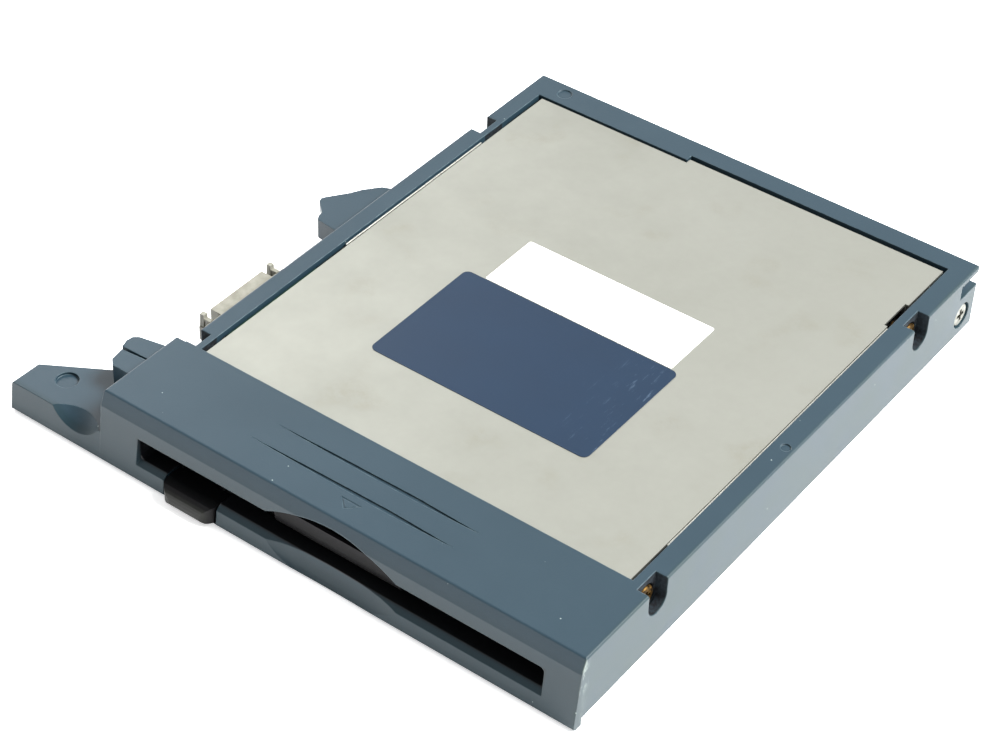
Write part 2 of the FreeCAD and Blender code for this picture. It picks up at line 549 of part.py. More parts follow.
# ---------------------------------------------------------------- docking connector
def dock_connector():
    y0, y1 = CONNECTOR_Y
    z0, z1 = CONNECTOR_Z
    tip_x = -SIDE_X - 5.9
    root_x = -INNER_X - 0.1
    back_x = -INNER_X + 0.6
    body = box(tip_x, y0, z0, root_x, y1, z1)
    flange = box(-SIDE_X - 3.2, y0 - 4.6, z0, root_x, y1 + 3.2, z1)
    tail = box(root_x - 0.01, y0 - 1, z0 + 0.6, back_x, y1 + 1, z1 - 0.6)
    prongs = []
    for y in (y0 - 2.8, y1 + 1.7):
        prongs.append(plate_yz([(y - 0.9, z0), (y + 0.9, z0), (y + 0.5, z1 + 1.1), (y - 0.5, z1 + 1.1)],
                               tip_x + 0.3, tip_x + 1.3))
        prongs.append(box(tip_x + 0.3, y - 0.45, z0, -SIDE_X - 3.1, y + 0.45, z1 + 0.2))
        prongs.append(box(tip_x + 0.3, y - 0.9, z0, -SIDE_X - 3.1, y + 0.9, z0 + 3.2))
    mouth = box(tip_x - 1, y0 + 0.7, z0 + 0.9, tip_x + 4.5, y1 - 0.7, z1 - 0.9)
    tongue = box(tip_x + 0.5, y0 + 1.4, z0 + 2.1, tip_x + 4.51, y1 - 1.4, z1 - 2.1)
    housing = join([body, flange, tail] + prongs).cut(mouth)
    housing = join([housing, tongue])

    pitch, width, thick = 0.65, 0.3, 0.12
    count = int((y1 - y0 - 3.0) / pitch)
    first = (y0 + y1) / 2 - pitch * (count - 1) / 2
    contacts = []
    for i in range(count):
        y = first + i * pitch
        for low, high in ((z0 + 2.1 - thick, z0 + 2.1), (z1 - 2.1, z1 - 2.1 + thick)):
            contacts.append(box(tip_x + 0.9, y - width / 2, low, tip_x + 4.5, y + width / 2, high))
    piece("dock_connector_housing", housing)
    piece("dock_connector_contacts", group(contacts))

    piece("connector_board", box(back_x, y0 - 5, DRIVE_BASE + 1.1, back_x + 0.8, y1 + 6, STRIP_Z - 1.0))


# ---------------------------------------------------------------- dust door and eject button
def dust_door():
    """Door hung from two pins behind the slot, with a hollow convex front that stands in the arch."""
    y, z = DOOR_AXIS
    half = DISK_WIDTH / 2 + 0.1
    foot = SLOT_BOTTOM + 0.4
    thick = 1.1
    spring_room = 1.8
    outline = [(y - 0.55, foot), (y - 0.55, z - 2.6), (y - 0.3, z - 1.2), (y - 0.55, z - 0.2),
               (y - 0.35, z + 0.55), (y + 0.35, z + 0.75), (y + 0.55, z), (y + thick - 0.55, foot)]
    leaf = plate_yz(outline, -half, half)
    room = box(-half - 1, y - 2, z - 1.6, -half + spring_room, y + 2, z + 2)
    leaf = leaf.cut(room)
    pin = rod_x(y, z, -half - 1.8, half + 1.8, DOOR_PIN_R)
    front, wall = y - 0.55, 0.7
    swell_out, swell_top = front - 2.6, z - 2.5
    swell = [(front + 0.3, foot + 0.1), (front - 1.2, foot + 0.3), (front - 2.0, foot + 0.8),
             (front - 2.45, foot + 1.6), (front - 2.65, foot + 2.8), (swell_out, swell_top),
             (front + 0.3, swell_top)]
    hollow = [(front, foot + 1.1), (front - 1.1, foot + 1.2), (front - 1.6, foot + 1.6),
              (swell_out + wall, foot + 2.6), (swell_out + wall, swell_top + 1), (front, swell_top + 1)]
    side_gap = 0.6
    x0, x1 = ARCH_X - ARCH_HALF + side_gap, ARCH_X + ARCH_HALF - side_gap
    bulge = plate_yz(swell, x0, x1).cut(plate_yz(hollow, x0 + wall, x1 - wall))
    bulge = bulge.common(box(x0 - 1, swell_out - 2, 0, x1 + 1, y, swell_top))
    bulge = bulge.common(rod_y(ARCH_X, ARCH_AXIS_Z, swell_out - 2, y, ARCH_R - WORKING_GAP - 0.1))
    piece("dust_door", join([leaf, pin, bulge]))

    wire, coil_length = 0.25, 1.0
    turns = int(coil_length / wire)
    coil_r = DOOR_PIN_R + RUNNING_FIT + wire / 2
    coils = []
    for i in range(turns):
        ring = Part.makeTorus(coil_r, wire / 2, V(-half + 0.3 + i * wire * 0.97, y, z), V(1, 0, 0))
        coils.append(ring)
    leg = box(-half + 0.15, y + coil_r - 0.15, z - 1.2, -half + 0.45, y + coil_r + 0.15, z)
    piece("door_spring", join(coils + [leg]))


def eject_button():
    """Key with a flat top, a rounded bead along its front, a stem, and a tongue on the slider's foot."""
    x0, x1 = BUTTON_X
    z0, z1 = BUTTON_Z
    front = FACE_FOOT_Y - BUTTON_REACH
    bead = 0.45
    profile = [(SKIRT_REAR_Y, z0), (front + bead, z0), (front + 0.3 * bead, z0 + 0.5 * bead),
               (front, z0 + 1.3 * bead), (front, z0 + 3.0 * bead), (front + 0.3 * bead, z1 - 3.6 * bead),
               (front + 0.7 * bead, z1 - 2.5 * bead), (front + 1.5 * bead, z1 - 1.4 * bead),
               (front + 3.0 * bead, z1 - 0.5 * bead), (SKIRT_REAR_Y, z1)]
    corner = 2.8
    plan = rounded_plate(x0, front, x1, front + 4 * corner, z0 - 1, z1 + 1, corner)
    skirt = plate_yz(profile, x0, x1).common(plan)
    body = box(x0, SKIRT_REAR_Y - 0.01, BUTTON_BASE, x1, INNER_FRONT_Y - 0.4, z1)
    cap = join([skirt, body])
    stem_z = (FLOOR_Z + WORKING_GAP, DISK_LOADED_Z - 0.2)
    stem = box(x0 + 0.8, INNER_FRONT_Y - 0.41, stem_z[0], x1 - 4.0, SLIDER_FOOT_Y[0] - 0.1, stem_z[1])
    tongue = box(x0 + 0.8, SLIDER_FOOT_Y[0] - 0.11, SLIDER_FOOT_Z[1] + 0.02, x1 - 4.0,
                 SLIDER_FOOT_Y[1] - 1.0, stem_z[1])
    piece("eject_button", join([cap, stem, tongue]))


# ---------------------------------------------------------------- drive shell
def drive_top_cover():
    """Pressed steel lid: flat plate, stepped front tongue, short folded sides and a notched rear edge."""
    t = DRIVE_SHEET
    front = BEZEL_REAR_Y + 0.1
    step_x = REAR_STEP_X + WORKING_GAP
    left_rear, right_rear = DRIVE_REAR - 0.2, DRIVE_REAR + 1.1
    plate = plate_xy([(-DRIVE_X, front), (DRIVE_X, front), (DRIVE_X, right_rear),
                      (step_x, right_rear), (step_x, left_rear), (-DRIVE_X, left_rear)],
                     DRIVE_TOP - t, DRIVE_TOP)
    tongue = box(-44.0, front - 7.5, STRIP_Z - 0.1 - t, 44.0, front + t, STRIP_Z - 0.1)
    riser = box(-44.0, front, STRIP_Z - 0.1 - t, 44.0, front + t, DRIVE_TOP)
    parts = [plate, tongue, riser]
    side_low = 7.5
    for x, runs in ((-1, ((front, -24.0), (10.6, 57.0))), (1, ((front, -24.2), (44.2, 55.5), (-20.0, 8.0)))):
        for y0, y1 in runs:
            flange = box(DRIVE_X - t, y0, side_low, DRIVE_X, y1, DRIVE_TOP)
            parts.append(flange if x > 0 else mirror_x(flange))
    parts.append(box(step_x + 2, right_rear - t, side_low, 40.0, right_rear, DRIVE_TOP))
    lid = join(parts)
    inset = 0.7
    slack = 1.0
    cutters = [box(DRIVE_X - inset, 55.5, DRIVE_TOP - slack, DRIVE_X + 1, 63.5, DRIVE_TOP + 1)]
    for y in SIDE_SCREW_YS:
        cutters += both_sides(rod_x(y, SIDE_SCREW_Z, DRIVE_X - 2, DRIVE_X + 1, 1.5))
    piece("drive_top_cover", minus(lid, cutters))


def guide_slots(x0, x1):
    """Upright slots that the carrier's pins rise and fall in."""
    r = GUIDE_PIN_R + RUNNING_FIT
    return [box(x0, y - r, PIN_Z - DISK_DROP - r - 0.1, x1, y + r, PIN_Z + r + 0.1) for y in PIN_YS]


def drive_chassis():
    t = CHASSIS_WALL
    x = CHASSIS_X
    wall_top = SLIDER_TOP + 0.65
    floor = box(-x, CHASSIS_FRONT_Y, DRIVE_BASE, x, CHASSIS_REAR_Y, FLOOR_Z)
    side = box(x - t, CHASSIS_FRONT_Y + 2, DRIVE_BASE, x, CHASSIS_REAR_Y, wall_top)
    side = minus(side, guide_slots(x - t - 1, x + 1))
    rear = box(-x, CHASSIS_REAR_Y - t, DRIVE_BASE, x, CHASSIS_REAR_Y, wall_top)
    hook = box(x - 4.0, SPRING_Y[0] - 0.9, SLIDER_TOP + 0.35, x, SPRING_Y[0] - 0.3, SPRING_Z + 0.9)
    hook = join([hook, box(x - t, SPRING_Y[0] - 0.9, wall_top - t, x, SPRING_Y[0] + 2, SPRING_Z + 0.9)])
    tab = box(x - t, CHASSIS_REAR_Y - 12, wall_top - 0.1, x, CHASSIS_REAR_Y - 4, DRIVE_TOP - DRIVE_SHEET)
    solid = join([floor, rear] + both_sides(side) + both_sides(hook) + both_sides(tab))
    ribbon_way = box(-x - 1, RIBBON_Y - 2.5, RIBBON_Z[0] - 0.3, -x + t + 1, RIBBON_Y + 2.5,
                     RIBBON_Z[1] + 0.3)
    motor_hole = rod_z(0, 0, DRIVE_BASE - 1, FLOOR_Z + 1, BEARING_R + 0.02)
    cutters = [ribbon_way, motor_hole]
    for y in SIDE_SCREW_YS:
        cutters += both_sides(rod_x(y, SIDE_SCREW_Z, x - 3, x + 1, 1.25))
    bx, by, _, by1 = BOARD_EDGES
    pads = [box(bx + 0.5, y - 1.5, FLOOR_Z - 0.1, bx + 3.5, y + 1.5, BOARD_Z)
            for y in (by + 2.0, by1 - 1.5)]
    pads.append(box(bx + 19.5, by + 10.7, FLOOR_Z - 0.1, bx + 22.5, by + 13.7, BOARD_Z))
    piece("drive_chassis", minus(join([solid] + pads), cutters))


# ---------------------------------------------------------------- disk carrier and eject slider
def head_window(x, y0, y1, z):
    return box(-x, y0, z - 1, x, y1, z + 1)


def disk_carrier():
    """Folded sheet cradle that the disk slides into."""
    t = CARRIER_SHEET
    x = CARRIER_X
    low = CARRIER_FLOOR - t
    top = box(-x, CARRIER_FRONT_Y, CARRIER_TOP - t, x, CARRIER_REAR_Y, CARRIER_TOP)
    side = box(x - t, CARRIER_FRONT_Y, low, x, CARRIER_REAR_Y, CARRIER_TOP)
    side = minus(side, [rod_x(y, PIN_Z, x - t - 1, x + 1, GUIDE_PIN_R) for y in PIN_YS])
    foot = box(x - 3.6, CARRIER_FRONT_Y, low, x, CARRIER_REAR_Y, low + t)
    stop_left = box(-x, CARRIER_REAR_Y - t, low, -20.0, CARRIER_REAR_Y, CARRIER_TOP)
    stop_right = box(x - 8.7, CARRIER_REAR_Y - t, low, x, CARRIER_REAR_Y, CARRIER_TOP)
    solid = join([top] + both_sides(side) + both_sides(foot) + [stop_left, stop_right])

    reach = math.hypot(LEVER_POST[0] - LEVER_PIN[0], LEVER_POST[1] - LEVER_PIN[1])
    sweep = tube_z(*LEVER_POST, CARRIER_TOP - 1, CARRIER_TOP + 1, reach + 1.6, reach - 1.6)
    sweep = sweep.common(box(LEVER_PIN[0] - 27.7, LEVER_PIN[1] - 1.8, CARRIER_TOP - 1, LEVER_PIN[0] + 2.0,
                             CARRIER_REAR_Y + 1, CARRIER_TOP + 1))
    finger = rod_z(-0.6, CARRIER_FRONT_Y - 9.0, CARRIER_TOP - 1, CARRIER_TOP + 1, 15.0)
    cutters = [head_window(9.0, 14.0, CARRIER_REAR_Y + 1, CARRIER_TOP), sweep, finger]
    piece("disk_carrier", minus(solid, cutters))

    pins = []
    for y in PIN_YS:
        pins += both_sides(rod_x(y, PIN_Z, x - t, CHASSIS_X - 0.1, GUIDE_PIN_R))
    piece("carrier_guide_pins", group(pins))


def ramp_slot(y, x0, x1):
    """Sloping slot: as the slider comes forward the pin runs down it."""
    r = GUIDE_PIN_R + RUNNING_FIT + 0.05
    ends = [rod_x(y, PIN_Z, x0, x1, r), rod_x(y + EJECT_TRAVEL, PIN_Z - DISK_DROP, x0, x1, r)]
    slope = math.atan2(-DISK_DROP, EJECT_TRAVEL)
    ny, nz = -math.sin(slope) * r, math.cos(slope) * r
    band = plate_yz([(y + ny, PIN_Z + nz), (y + EJECT_TRAVEL + ny, PIN_Z - DISK_DROP + nz),
                     (y + EJECT_TRAVEL - ny, PIN_Z - DISK_DROP - nz), (y - ny, PIN_Z - nz)], x0, x1)
    return join(ends + [band])


def cam_slider():
    t = CARRIER_SHEET
    x = SLIDER_X
    low = FLOOR_Z + 1.2
    rear = PIN_YS[1] + 8.0
    cross_rear = SLIDER_FRONT_Y + 46.8
    cross = box(-x, SLIDER_FRONT_Y, SLIDER_TOP - t, x, cross_rear, SLIDER_TOP)
    rail = box(x - 5.4, cross_rear - 1, SLIDER_TOP - t, x, rear, SLIDER_TOP)
    side = box(x - t, SLIDER_FRONT_Y - 1.5, low, x, rear, SLIDER_TOP)
    side = minus(side, [ramp_slot(y, x - t - 1, x + 1) for y in PIN_YS])
    lug = box(SPRING_X - 1.0, SPRING_Y[1], SLIDER_TOP - 0.1, SPRING_X + 1.0, SPRING_Y[1] + t,
              SPRING_Z + 0.8)
    foot = box(-x, SLIDER_FOOT_Y[0], SLIDER_FOOT_Z[0], BUTTON_X[1] - 3.0, SLIDER_FOOT_Y[1],
               SLIDER_FOOT_Z[1])
    leg = box(-x, SLIDER_FOOT_Y[0], SLIDER_FOOT_Z[0], -x + t, SLIDER_FRONT_Y + 4, low + 1)
    solid = join([cross] + both_sides(rail) + both_sides(side) + both_sides(lug) + [foot, leg])
    finger = rod_z(-0.6, SLIDER_FRONT_Y - 8.0, SLIDER_TOP - 2, SLIDER_TOP + 2, 14.0)
    piece("cam_slider", minus(solid, [finger]))

    springs = []
    for sx in (SPRING_X, -SPRING_X):
        springs.append(close_wound_spring(sx, SPRING_Z, SPRING_Y[0], SPRING_Y[1]))
    piece("slider_springs", group(springs))


def close_wound_spring(x, z, y0, y1):
    """Tension spring: a tube with one bead per turn, and a short hook at each end."""
    coil_r, wire = 0.62, 0.3
    hook = 1.4
    start, end = y0 + hook, y1 - hook
    turns = int((end - start) / (wire * 1.35))
    pitch = (end - start) / turns
    points = [V(x, start, z + coil_r - wire)]
    for i in range(turns):
        points.append(V(x, start + i * pitch, z + coil_r - wire / 2))
        points.append(V(x, start + (i + 0.5) * pitch, z + coil_r + wire / 2))
    points.append(V(x, end, z + coil_r - wire / 2))
    points.append(V(x, end, z + coil_r - wire))
    face = Part.Face(Part.makePolygon(points + points[:1]))
    body = face.revolve(V(x, start, z), V(0, 1, 0), 360)
    tails = []
    for a, b in ((y0 + 0.05, start + wire), (end - wire, y1 - 0.05)):
        tails.append(rod_y(x, z + coil_r - wire / 2, a, b, wire / 2))
    return join([body] + tails)


def shutter_lever():
    """Arm that slides the disk's shutter open as the disk goes in, on a riveted post."""
    post_r, hub_r, thick = 1.5, 3.2, 0.5
    px, py = LEVER_POST
    tx, ty = LEVER_PIN
    angle = math.atan2(ty - py, tx - px)
    nx, ny = -math.sin(angle), math.cos(angle)
    wide, slim = 2.4, 1.5
    arm = plate_xy([(px + nx * wide, py + ny * wide), (tx + nx * slim, ty + ny * slim),
                    (tx - nx * slim, ty - ny * slim), (px - nx * wide, py - ny * wide)],
                   LEVER_Z, LEVER_Z + thick)
    lever = join([arm, rod_z(px, py, LEVER_Z, LEVER_Z + thick, hub_r),
                  rod_z(tx, ty, LEVER_Z, LEVER_Z + thick, slim),
                  rod_z(tx, ty, DISK_RAISED_Z + 0.4, LEVER_Z + thick, 0.8)])
    lever = lever.cut(rod_z(px, py, LEVER_Z - 1, LEVER_Z + thick + 1, post_r + RUNNING_FIT))
    piece("shutter_lever", lever)

    shoulder = rod_z(px, py, FLOOR_Z, LEVER_Z - 0.05, post_r + 0.9)
    head = rod_z(px, py, LEVER_Z + thick + 0.1, LEVER_Z + thick + 0.6, post_r + 1.0)
    piece("lever_post", join([shoulder, rod_z(px, py, FLOOR_Z, LEVER_Z + thick + 0.2, post_r), head]))

    wire, coil_length = 0.35, 1.8
    turns = int(coil_length / wire)
    coil_r = post_r + 0.9 + wire / 2 + 0.15
    coils = [Part.makeTorus(coil_r, wire / 2, V(px, py, FLOOR_Z + 1.2 + i * wire * 0.97), V(0, 0, 1))
             for i in range(turns)]
    leg = box(px - 0.2, py + coil_r - 0.2, FLOOR_Z + 1.2, px + 9 * 0.5, py + coil_r + 0.15,
              FLOOR_Z + 1.2 + wire)
    piece("lever_spring", join(coils + [leg]))


# ---------------------------------------------------------------- spindle motor
def spindle_motor():
    board_top = FLOOR_Z + MOTOR_BOARD
    disc = rod_z(0, 0, FLOOR_Z, board_top, ROTOR_R + 4.0)
    tongue = box(-14.0, -34.0, FLOOR_Z, 16.0, -10.0, board_top)
    wing = box(14.0, PLUNGERS[0][1] - 4.0, FLOOR_Z, PLUNGERS[1][0] + 7.0, PLUNGERS[0][1] + 6.0, board_top)
    board = join([disc, tongue, wing]).cut(rod_z(0, 0, FLOOR_Z - 1, board_top + 1, BEARING_R + 0.02))
    piece("motor_board", board)

    bearing = join([rod_z(0, 0, DRIVE_BASE, ROTOR_WEB[0] - WORKING_GAP, BEARING_R),
                    rod_z(0, 0, board_top, board_top + 0.2, BEARING_R + 0.9)])
    bearing = bearing.cut(rod_z(0, 0, DRIVE_BASE - 1, 9, SPINDLE_R + 0.03))
    piece("spindle_bearing", bearing)

    stator_z = (board_top + 0.1, board_top + 0.25)
    pole_count = 9
    core = [tube_z(0, 0, *stator_z, 5.6, BEARING_R + 1.0)]
    coils = []
    for i in range(pole_count):
        turn = 360.0 / pole_count * i
        arm = box(5.0, -0.9, stator_z[0], 12.4, 0.9, stator_z[1])
        shoe = tube_z(0, 0, *stator_z, 14.2, 12.3).common(box(10, -3.4, 0, 16, 3.4, 9))
        winding = box(6.4, -1.7, board_top + 0.02, 11.6, 1.7, ROTOR_WEB[0] - WORKING_GAP)
        winding = winding.cut(box(6.0, -0.92, stator_z[0] - 0.02, 12.0, 0.92, stator_z[1] + 0.02))
        for solid in (arm, shoe, winding):
            solid.rotate(V(0, 0, 0), V(0, 0, 1), turn)
        core += [arm, shoe]
        coils.append(winding)
    piece("stator_core", join(core))
    piece("stator_coils", group(coils))

    web = tube_z(0, 0, *ROTOR_WEB, ROTOR_R, SPINDLE_R)
    skirt = board_top + WORKING_GAP
    rim = tube_z(0, 0, skirt, ROTOR_WEB[1], ROTOR_R, ROTOR_R - 0.4)
    vents = []
    for i in range(3):
        vent = rod_z(13.0, 0, ROTOR_WEB[0] - 1, ROTOR_WEB[1] + 1, 1.3)
        vent.rotate(V(0, 0, 0), V(0, 0, 1), 30 + 120 * i)
        vents.append(vent)
    drive_pin_hole = rod_z(0, -10.0, ROTOR_WEB[0] - 1, ROTOR_WEB[1] + 1, 0.5)
    piece("spindle_rotor", minus(join([web, rim]), vents + [drive_pin_hole]))
    piece("ring_magnet", tube_z(0, 0, skirt, ROTOR_WEB[0], ROTOR_R - 0.4, ROTOR_R - 2.0))
    piece("hub_magnet", tube_z(0, 0, ROTOR_WEB[1], ROTOR_WEB[1] + 0.2, 8.4, 3.2))
    shaft = rod_z(0, 0, BOTTOM_SHEET + WORKING_GAP, DISK_RAISED_Z - 0.15, SPINDLE_R)
    shaft = shaft.makeChamfer(0.4, edges_where(shaft, lambda b: b.ZMin > 4.0 and b.ZLength < 0.01))
    piece("spindle_shaft", shaft)
    pin = join([rod_z(0, -10.0, ROTOR_WEB[0] + 0.02, DISK_LOADED_Z + 0.9, 0.5),
                rod_z(0, -10.0, ROTOR_WEB[1] + 0.02, DISK_LOADED_Z + 0.9, 0.95)])
    piece("drive_pin", pin)


def media_switches():
    """Two small plunger switches that feel the disk and its write-protect hole."""
    base = FLOOR_Z + MOTOR_BOARD
    top = DISK_LOADED_Z - 0.25
    bodies = []
    for name, (x, y) in zip(("disk_in_plunger", "write_protect_plunger"), PLUNGERS):
        plunger = join([rod_z(x, y, base + WORKING_GAP + PLUNGER_TRAVEL, DISK_LOADED_Z + 0.7, 0.6)])
        plunger = plunger.makeFillet(0.3, edges_where(plunger, lambda b: b.ZMin > DISK_LOADED_Z + 0.6))
        piece(name, plunger)
        case = rounded_plate(x - 2.4, y - 2.2, x + 2.4, y + 2.2, base, top, 0.3)
        bodies.append(case.cut(rod_z(x, y, base - 1, top + 1, 0.6 + RUNNING_FIT)))
    piece("media_switch_bodies", group(bodies))


# ---------------------------------------------------------------- head positioner
def stepper():
    motor_r, plate = 4.8, 0.6
    front = CARRIAGE_FRONT_Y + NUT_LENGTH + 0.4 + plate
    rear = CHASSIS_INNER_Y
    can = rod_y(SCREW_X, SCREW_Z, front, rear, motor_r)
    can = can.makeFillet(0.5, edges_where(can, lambda b: b.YLength < 0.01))
    bore = rod_y(SCREW_X, SCREW_Z, front - 1, front + 5, LEAD_SCREW_R + RUNNING_FIT)
    seam = rod_y(SCREW_X, SCREW_Z, front + 3.4, front + 3.7, motor_r + 1)
    seam = seam.cut(rod_y(SCREW_X, SCREW_Z, front + 3, front + 4, motor_r - 0.2))
    piece("stepper_motor", minus(can, [bore, seam]))

    tip = CARRIAGE_INNER_Y - 0.4 - plate
    base = box(SCREW_X - 4, tip, FLOOR_Z, SCREW_X + 4, front, FLOOR_Z + 0.5)
    near = box(SCREW_X - 3, tip, FLOOR_Z, SCREW_X + 3, tip + plate, SCREW_Z + 2.4)
    far = box(SCREW_X - 4, front - plate, FLOOR_Z, SCREW_X + 4, front, SCREW_Z + 3.6)
    bush = rod_y(SCREW_X, SCREW_Z, tip - 1, tip + 1, 1.8)
    bore = rod_y(SCREW_X, SCREW_Z, front - 2, front + 1, LEAD_SCREW_R + 0.3)
    piece("stepper_bracket", minus(join([base, near, far]), [bush, bore]))
    bearing = rod_y(SCREW_X, SCREW_Z, tip - 0.1, tip + plate, 1.8)
    piece("lead_screw_bearing", bearing.cut(rod_y(SCREW_X, SCREW_Z, tip + 0.3, tip + 3, 0.6 + RUNNING_FIT)))

    thread, shank = (tip + plate + WORKING_GAP, front - plate - 0.4), 0.6
    groove, pitch = 0.25, 1.5
    count = int((thread[1] - thread[0]) / pitch)
    solid = join([rod_y(SCREW_X, SCREW_Z, tip + 0.35, thread[0] + 0.1, shank),
                  rod_y(SCREW_X, SCREW_Z, thread[0], front + 4.5, LEAD_SCREW_R)])
    step = (thread[1] - thread[0]) / count
    rings = []
    for i in range(count):
        y = thread[0] + (i + 0.25) * step
        ring = rod_y(SCREW_X, SCREW_Z, y, y + step / 2, LEAD_SCREW_R + 1)
        rings.append(ring.cut(rod_y(SCREW_X, SCREW_Z, y - 1, y + step, LEAD_SCREW_R - groove)))
    flat = box(SCREW_X + 0.35, tip + 0.2, SCREW_Z - 1, SCREW_X + 1, thread[0] - 0.3, SCREW_Z + 1)
    piece("lead_screw", minus(solid, rings + [flat]))


def guide_rod():
    front = CARRIAGE_INNER_Y - WORKING_GAP - ROD_CLAMP
    rear = CARRIAGE_REAR_Y + WORKING_GAP + ROD_CLAMP
    piece("guide_rod", rod_y(ROD_X, ROD_Z, front, rear, GUIDE_ROD_R))
    clamps = []
    for y0, y1 in ((front, front + ROD_CLAMP), (rear - ROD_CLAMP, rear)):
        block = box(ROD_X - 2.2, y0, FLOOR_Z, ROD_X + 2.2, y1, ROD_Z + GUIDE_ROD_R + 0.8)
        clamps.append(block.cut(rod_y(ROD_X, ROD_Z, front, rear, GUIDE_ROD_R)))
    piece("guide_rod_clamps", group(clamps))


def head_carriage():
    body_y = (CARRIAGE_FRONT_Y, CARRIAGE_REAR_Y)
    arm_x = 3.5
    low, high = FLOOR_Z + 0.9, CARRIER_TOP - 0.15
    body = box(ROD_X - 2.6, body_y[0], low, 9.6, body_y[1], high)
    arm_top = DISK_LOADED_Z - 0.5
    arm = box(-arm_x, HEAD_OUTER_Y - 2.6, arm_top - 0.5, arm_x, body_y[0] + 0.1, arm_top)
    riser = box(-arm_x, ARM_PIVOT[0] - 1.3, high - 0.1, arm_x, ARM_PIVOT[0] + 1.3, ARM_PIVOT[1] + 1.1)
    gap = box(-1.9, ARM_PIVOT[0] - 2, high + 0.05, 1.9, ARM_PIVOT[0] + 2, ARM_PIVOT[1] + 3)
    nut = box(9.5, body_y[0], SCREW_Z - 0.5, SCREW_X - LEAD_SCREW_R - RUNNING_FIT, body_y[0] + NUT_LENGTH,
              SCREW_Z + 0.5)
    flag = box(ROD_X - 5.5, body_y[0] + 1.3, FLAG_Z, ROD_X - 2.5, body_y[0] + 4.3, FLAG_Z + 0.5)
    solid = join([body, arm, riser, flag, nut])
    bore = rod_y(ROD_X, ROD_Z, body_y[0] - 1, body_y[1] + 1, GUIDE_ROD_R + RUNNING_FIT)
    pin_bore = rod_x(*ARM_PIVOT, -arm_x - 1, arm_x + 1, 0.5)
    waist = box(-2.6, body_y[0] + 2.2, low + 1.8, 7.8, body_y[1] - 1.6, high + 1)
    waist = waist.cut(box(-arm_x - 0.1, ARM_PIVOT[0] - 1.9, 0, arm_x + 0.1, ARM_PIVOT[0] + 3, 20))
    piece("head_carriage", minus(solid, [gap, bore, pin_bore, waist]))
    piece("arm_pivot_pin", rod_x(*ARM_PIVOT, -arm_x - 0.3, arm_x + 0.3, 0.5))

    head = 1.6
    lower = rounded_plate(-head, HEAD_OUTER_Y - head, head, HEAD_OUTER_Y + head, arm_top,
                          DISK_LOADED_Z - 0.05, 0.3)
    piece("lower_head", lower)

    arm_low = ARM_LOW
    neck = 1.6
    upper = plate_xy([(-3.2, HEAD_OUTER_Y - 2.6), (3.2, HEAD_OUTER_Y - 2.6), (neck, ARM_PIVOT[0] - 4),
                      (neck, ARM_PIVOT[0]), (-neck, ARM_PIVOT[0]), (-neck, ARM_PIVOT[0] - 4)],
                     arm_low, arm_low + ARM_THICKNESS)
    barrel = rod_x(*ARM_PIVOT, -neck, neck, 0.9)
    upper = join([upper, barrel]).cut(rod_x(*ARM_PIVOT, -3, 3, 0.5 + RUNNING_FIT))
    piece("upper_head_arm", upper)
    piece("upper_head", rounded_plate(-head, HEAD_OUTER_Y - head, head, HEAD_OUTER_Y + head,
                                      CARRIER_TOP - CARRIER_SHEET, arm_low, 0.3))
    spring = box(-1.3, ARM_PIVOT[0] - 11, ARM_PIVOT[1] + 1.15, 1.3, ARM_PIVOT[0] + 1.3,
                 ARM_PIVOT[1] + 1.35)
    feet = box(-3.4, ARM_PIVOT[0] - 1.2, ARM_PIVOT[1] + 1.1, 3.4, ARM_PIVOT[0] + 1.2,
               ARM_PIVOT[1] + 1.35)
    tip = box(-1.3, ARM_PIVOT[0] - 11, arm_low + 0.95, 1.3, ARM_PIVOT[0] - 10.7, ARM_PIVOT[1] + 1.16)
    piece("arm_spring", join([spring, feet, tip]))

    base = box(ROD_X - 6.4, body_y[0] + 0.1, FLOOR_Z, ROD_X - 3.0, body_y[0] + 5.5, FLOOR_Z + 4.2)
    throat = box(ROD_X - 5.8, body_y[0] - 1, FLAG_Z - WORKING_GAP, ROD_X - 2, body_y[0] + 6,
                 FLAG_Z + 0.5 + WORKING_GAP)
    piece("track_zero_sensor", base.cut(throat))


# ---------------------------------------------------------------- boards and ribbons
def electronics():
    thick = 0.8
    x0, y0, x1, y1 = BOARD_EDGES
    board = box(x0, y0, BOARD_Z, x1, y1, BOARD_Z + thick)
    piece("main_board", board)
    top = BOARD_Z + thick
    chips = [rounded_plate(x0 + 9.0, y0 + 10.2, x0 + 19.0, y0 + 20.2, top, top + 1.4, 0.3),
             rounded_plate(x0 + 4.5, y0 + 2.2, x0 + 10.5, y0 + 6.2, top, top + 1.2, 0.3)]
    for i in range(4):
        chips.append(box(x0 + 15.0 + 2.2 * i, y0 + 3.2, top, x0 + 16.2 + 2.2 * i, y0 + 5.2, top + 0.8))
    piece("board_chips", group(chips))

    socket_y = (RIBBON_Y + 1.6, RIBBON_Y + 2.8)
    socket = box(x0 + 0.4, socket_y[0], top, x0 + 3.4, socket_y[1] + 14, RIBBON_Z[1] - 1.0)
    piece("ribbon_socket", socket)

    t = 0.3
    run_x = -(WINDOW_X + INNER_X) / 2
    end_y = CONNECTOR_Y[1] + 7.5
    board_x = -INNER_X + 1.4
    path = [(x0 + 1.4, socket_y[0]), (x0 + 1.4, RIBBON_Y), (run_x, RIBBON_Y), (run_x, end_y),
            (board_x + t, end_y - 2.5), (board_x + t, CONNECTOR_Y[1])]
    piece("ribbon_cable", ribbon(path, t, *RIBBON_Z))

    start = ROD_X - 2.8
    strip_y, end_y = CARRIAGE_REAR_Y - 1.1, y0 + 10.2
    flex = [(start, strip_y), (start - 7.2, strip_y), (start - 9.6, strip_y - 3.0),
            (start - 9.6, end_y + 2.0), (start - 11.6, end_y), (x0 + 20.0, end_y)]
    piece("head_flex", ribbon(flex, 0.15, top + 3.1, top + 5.1))


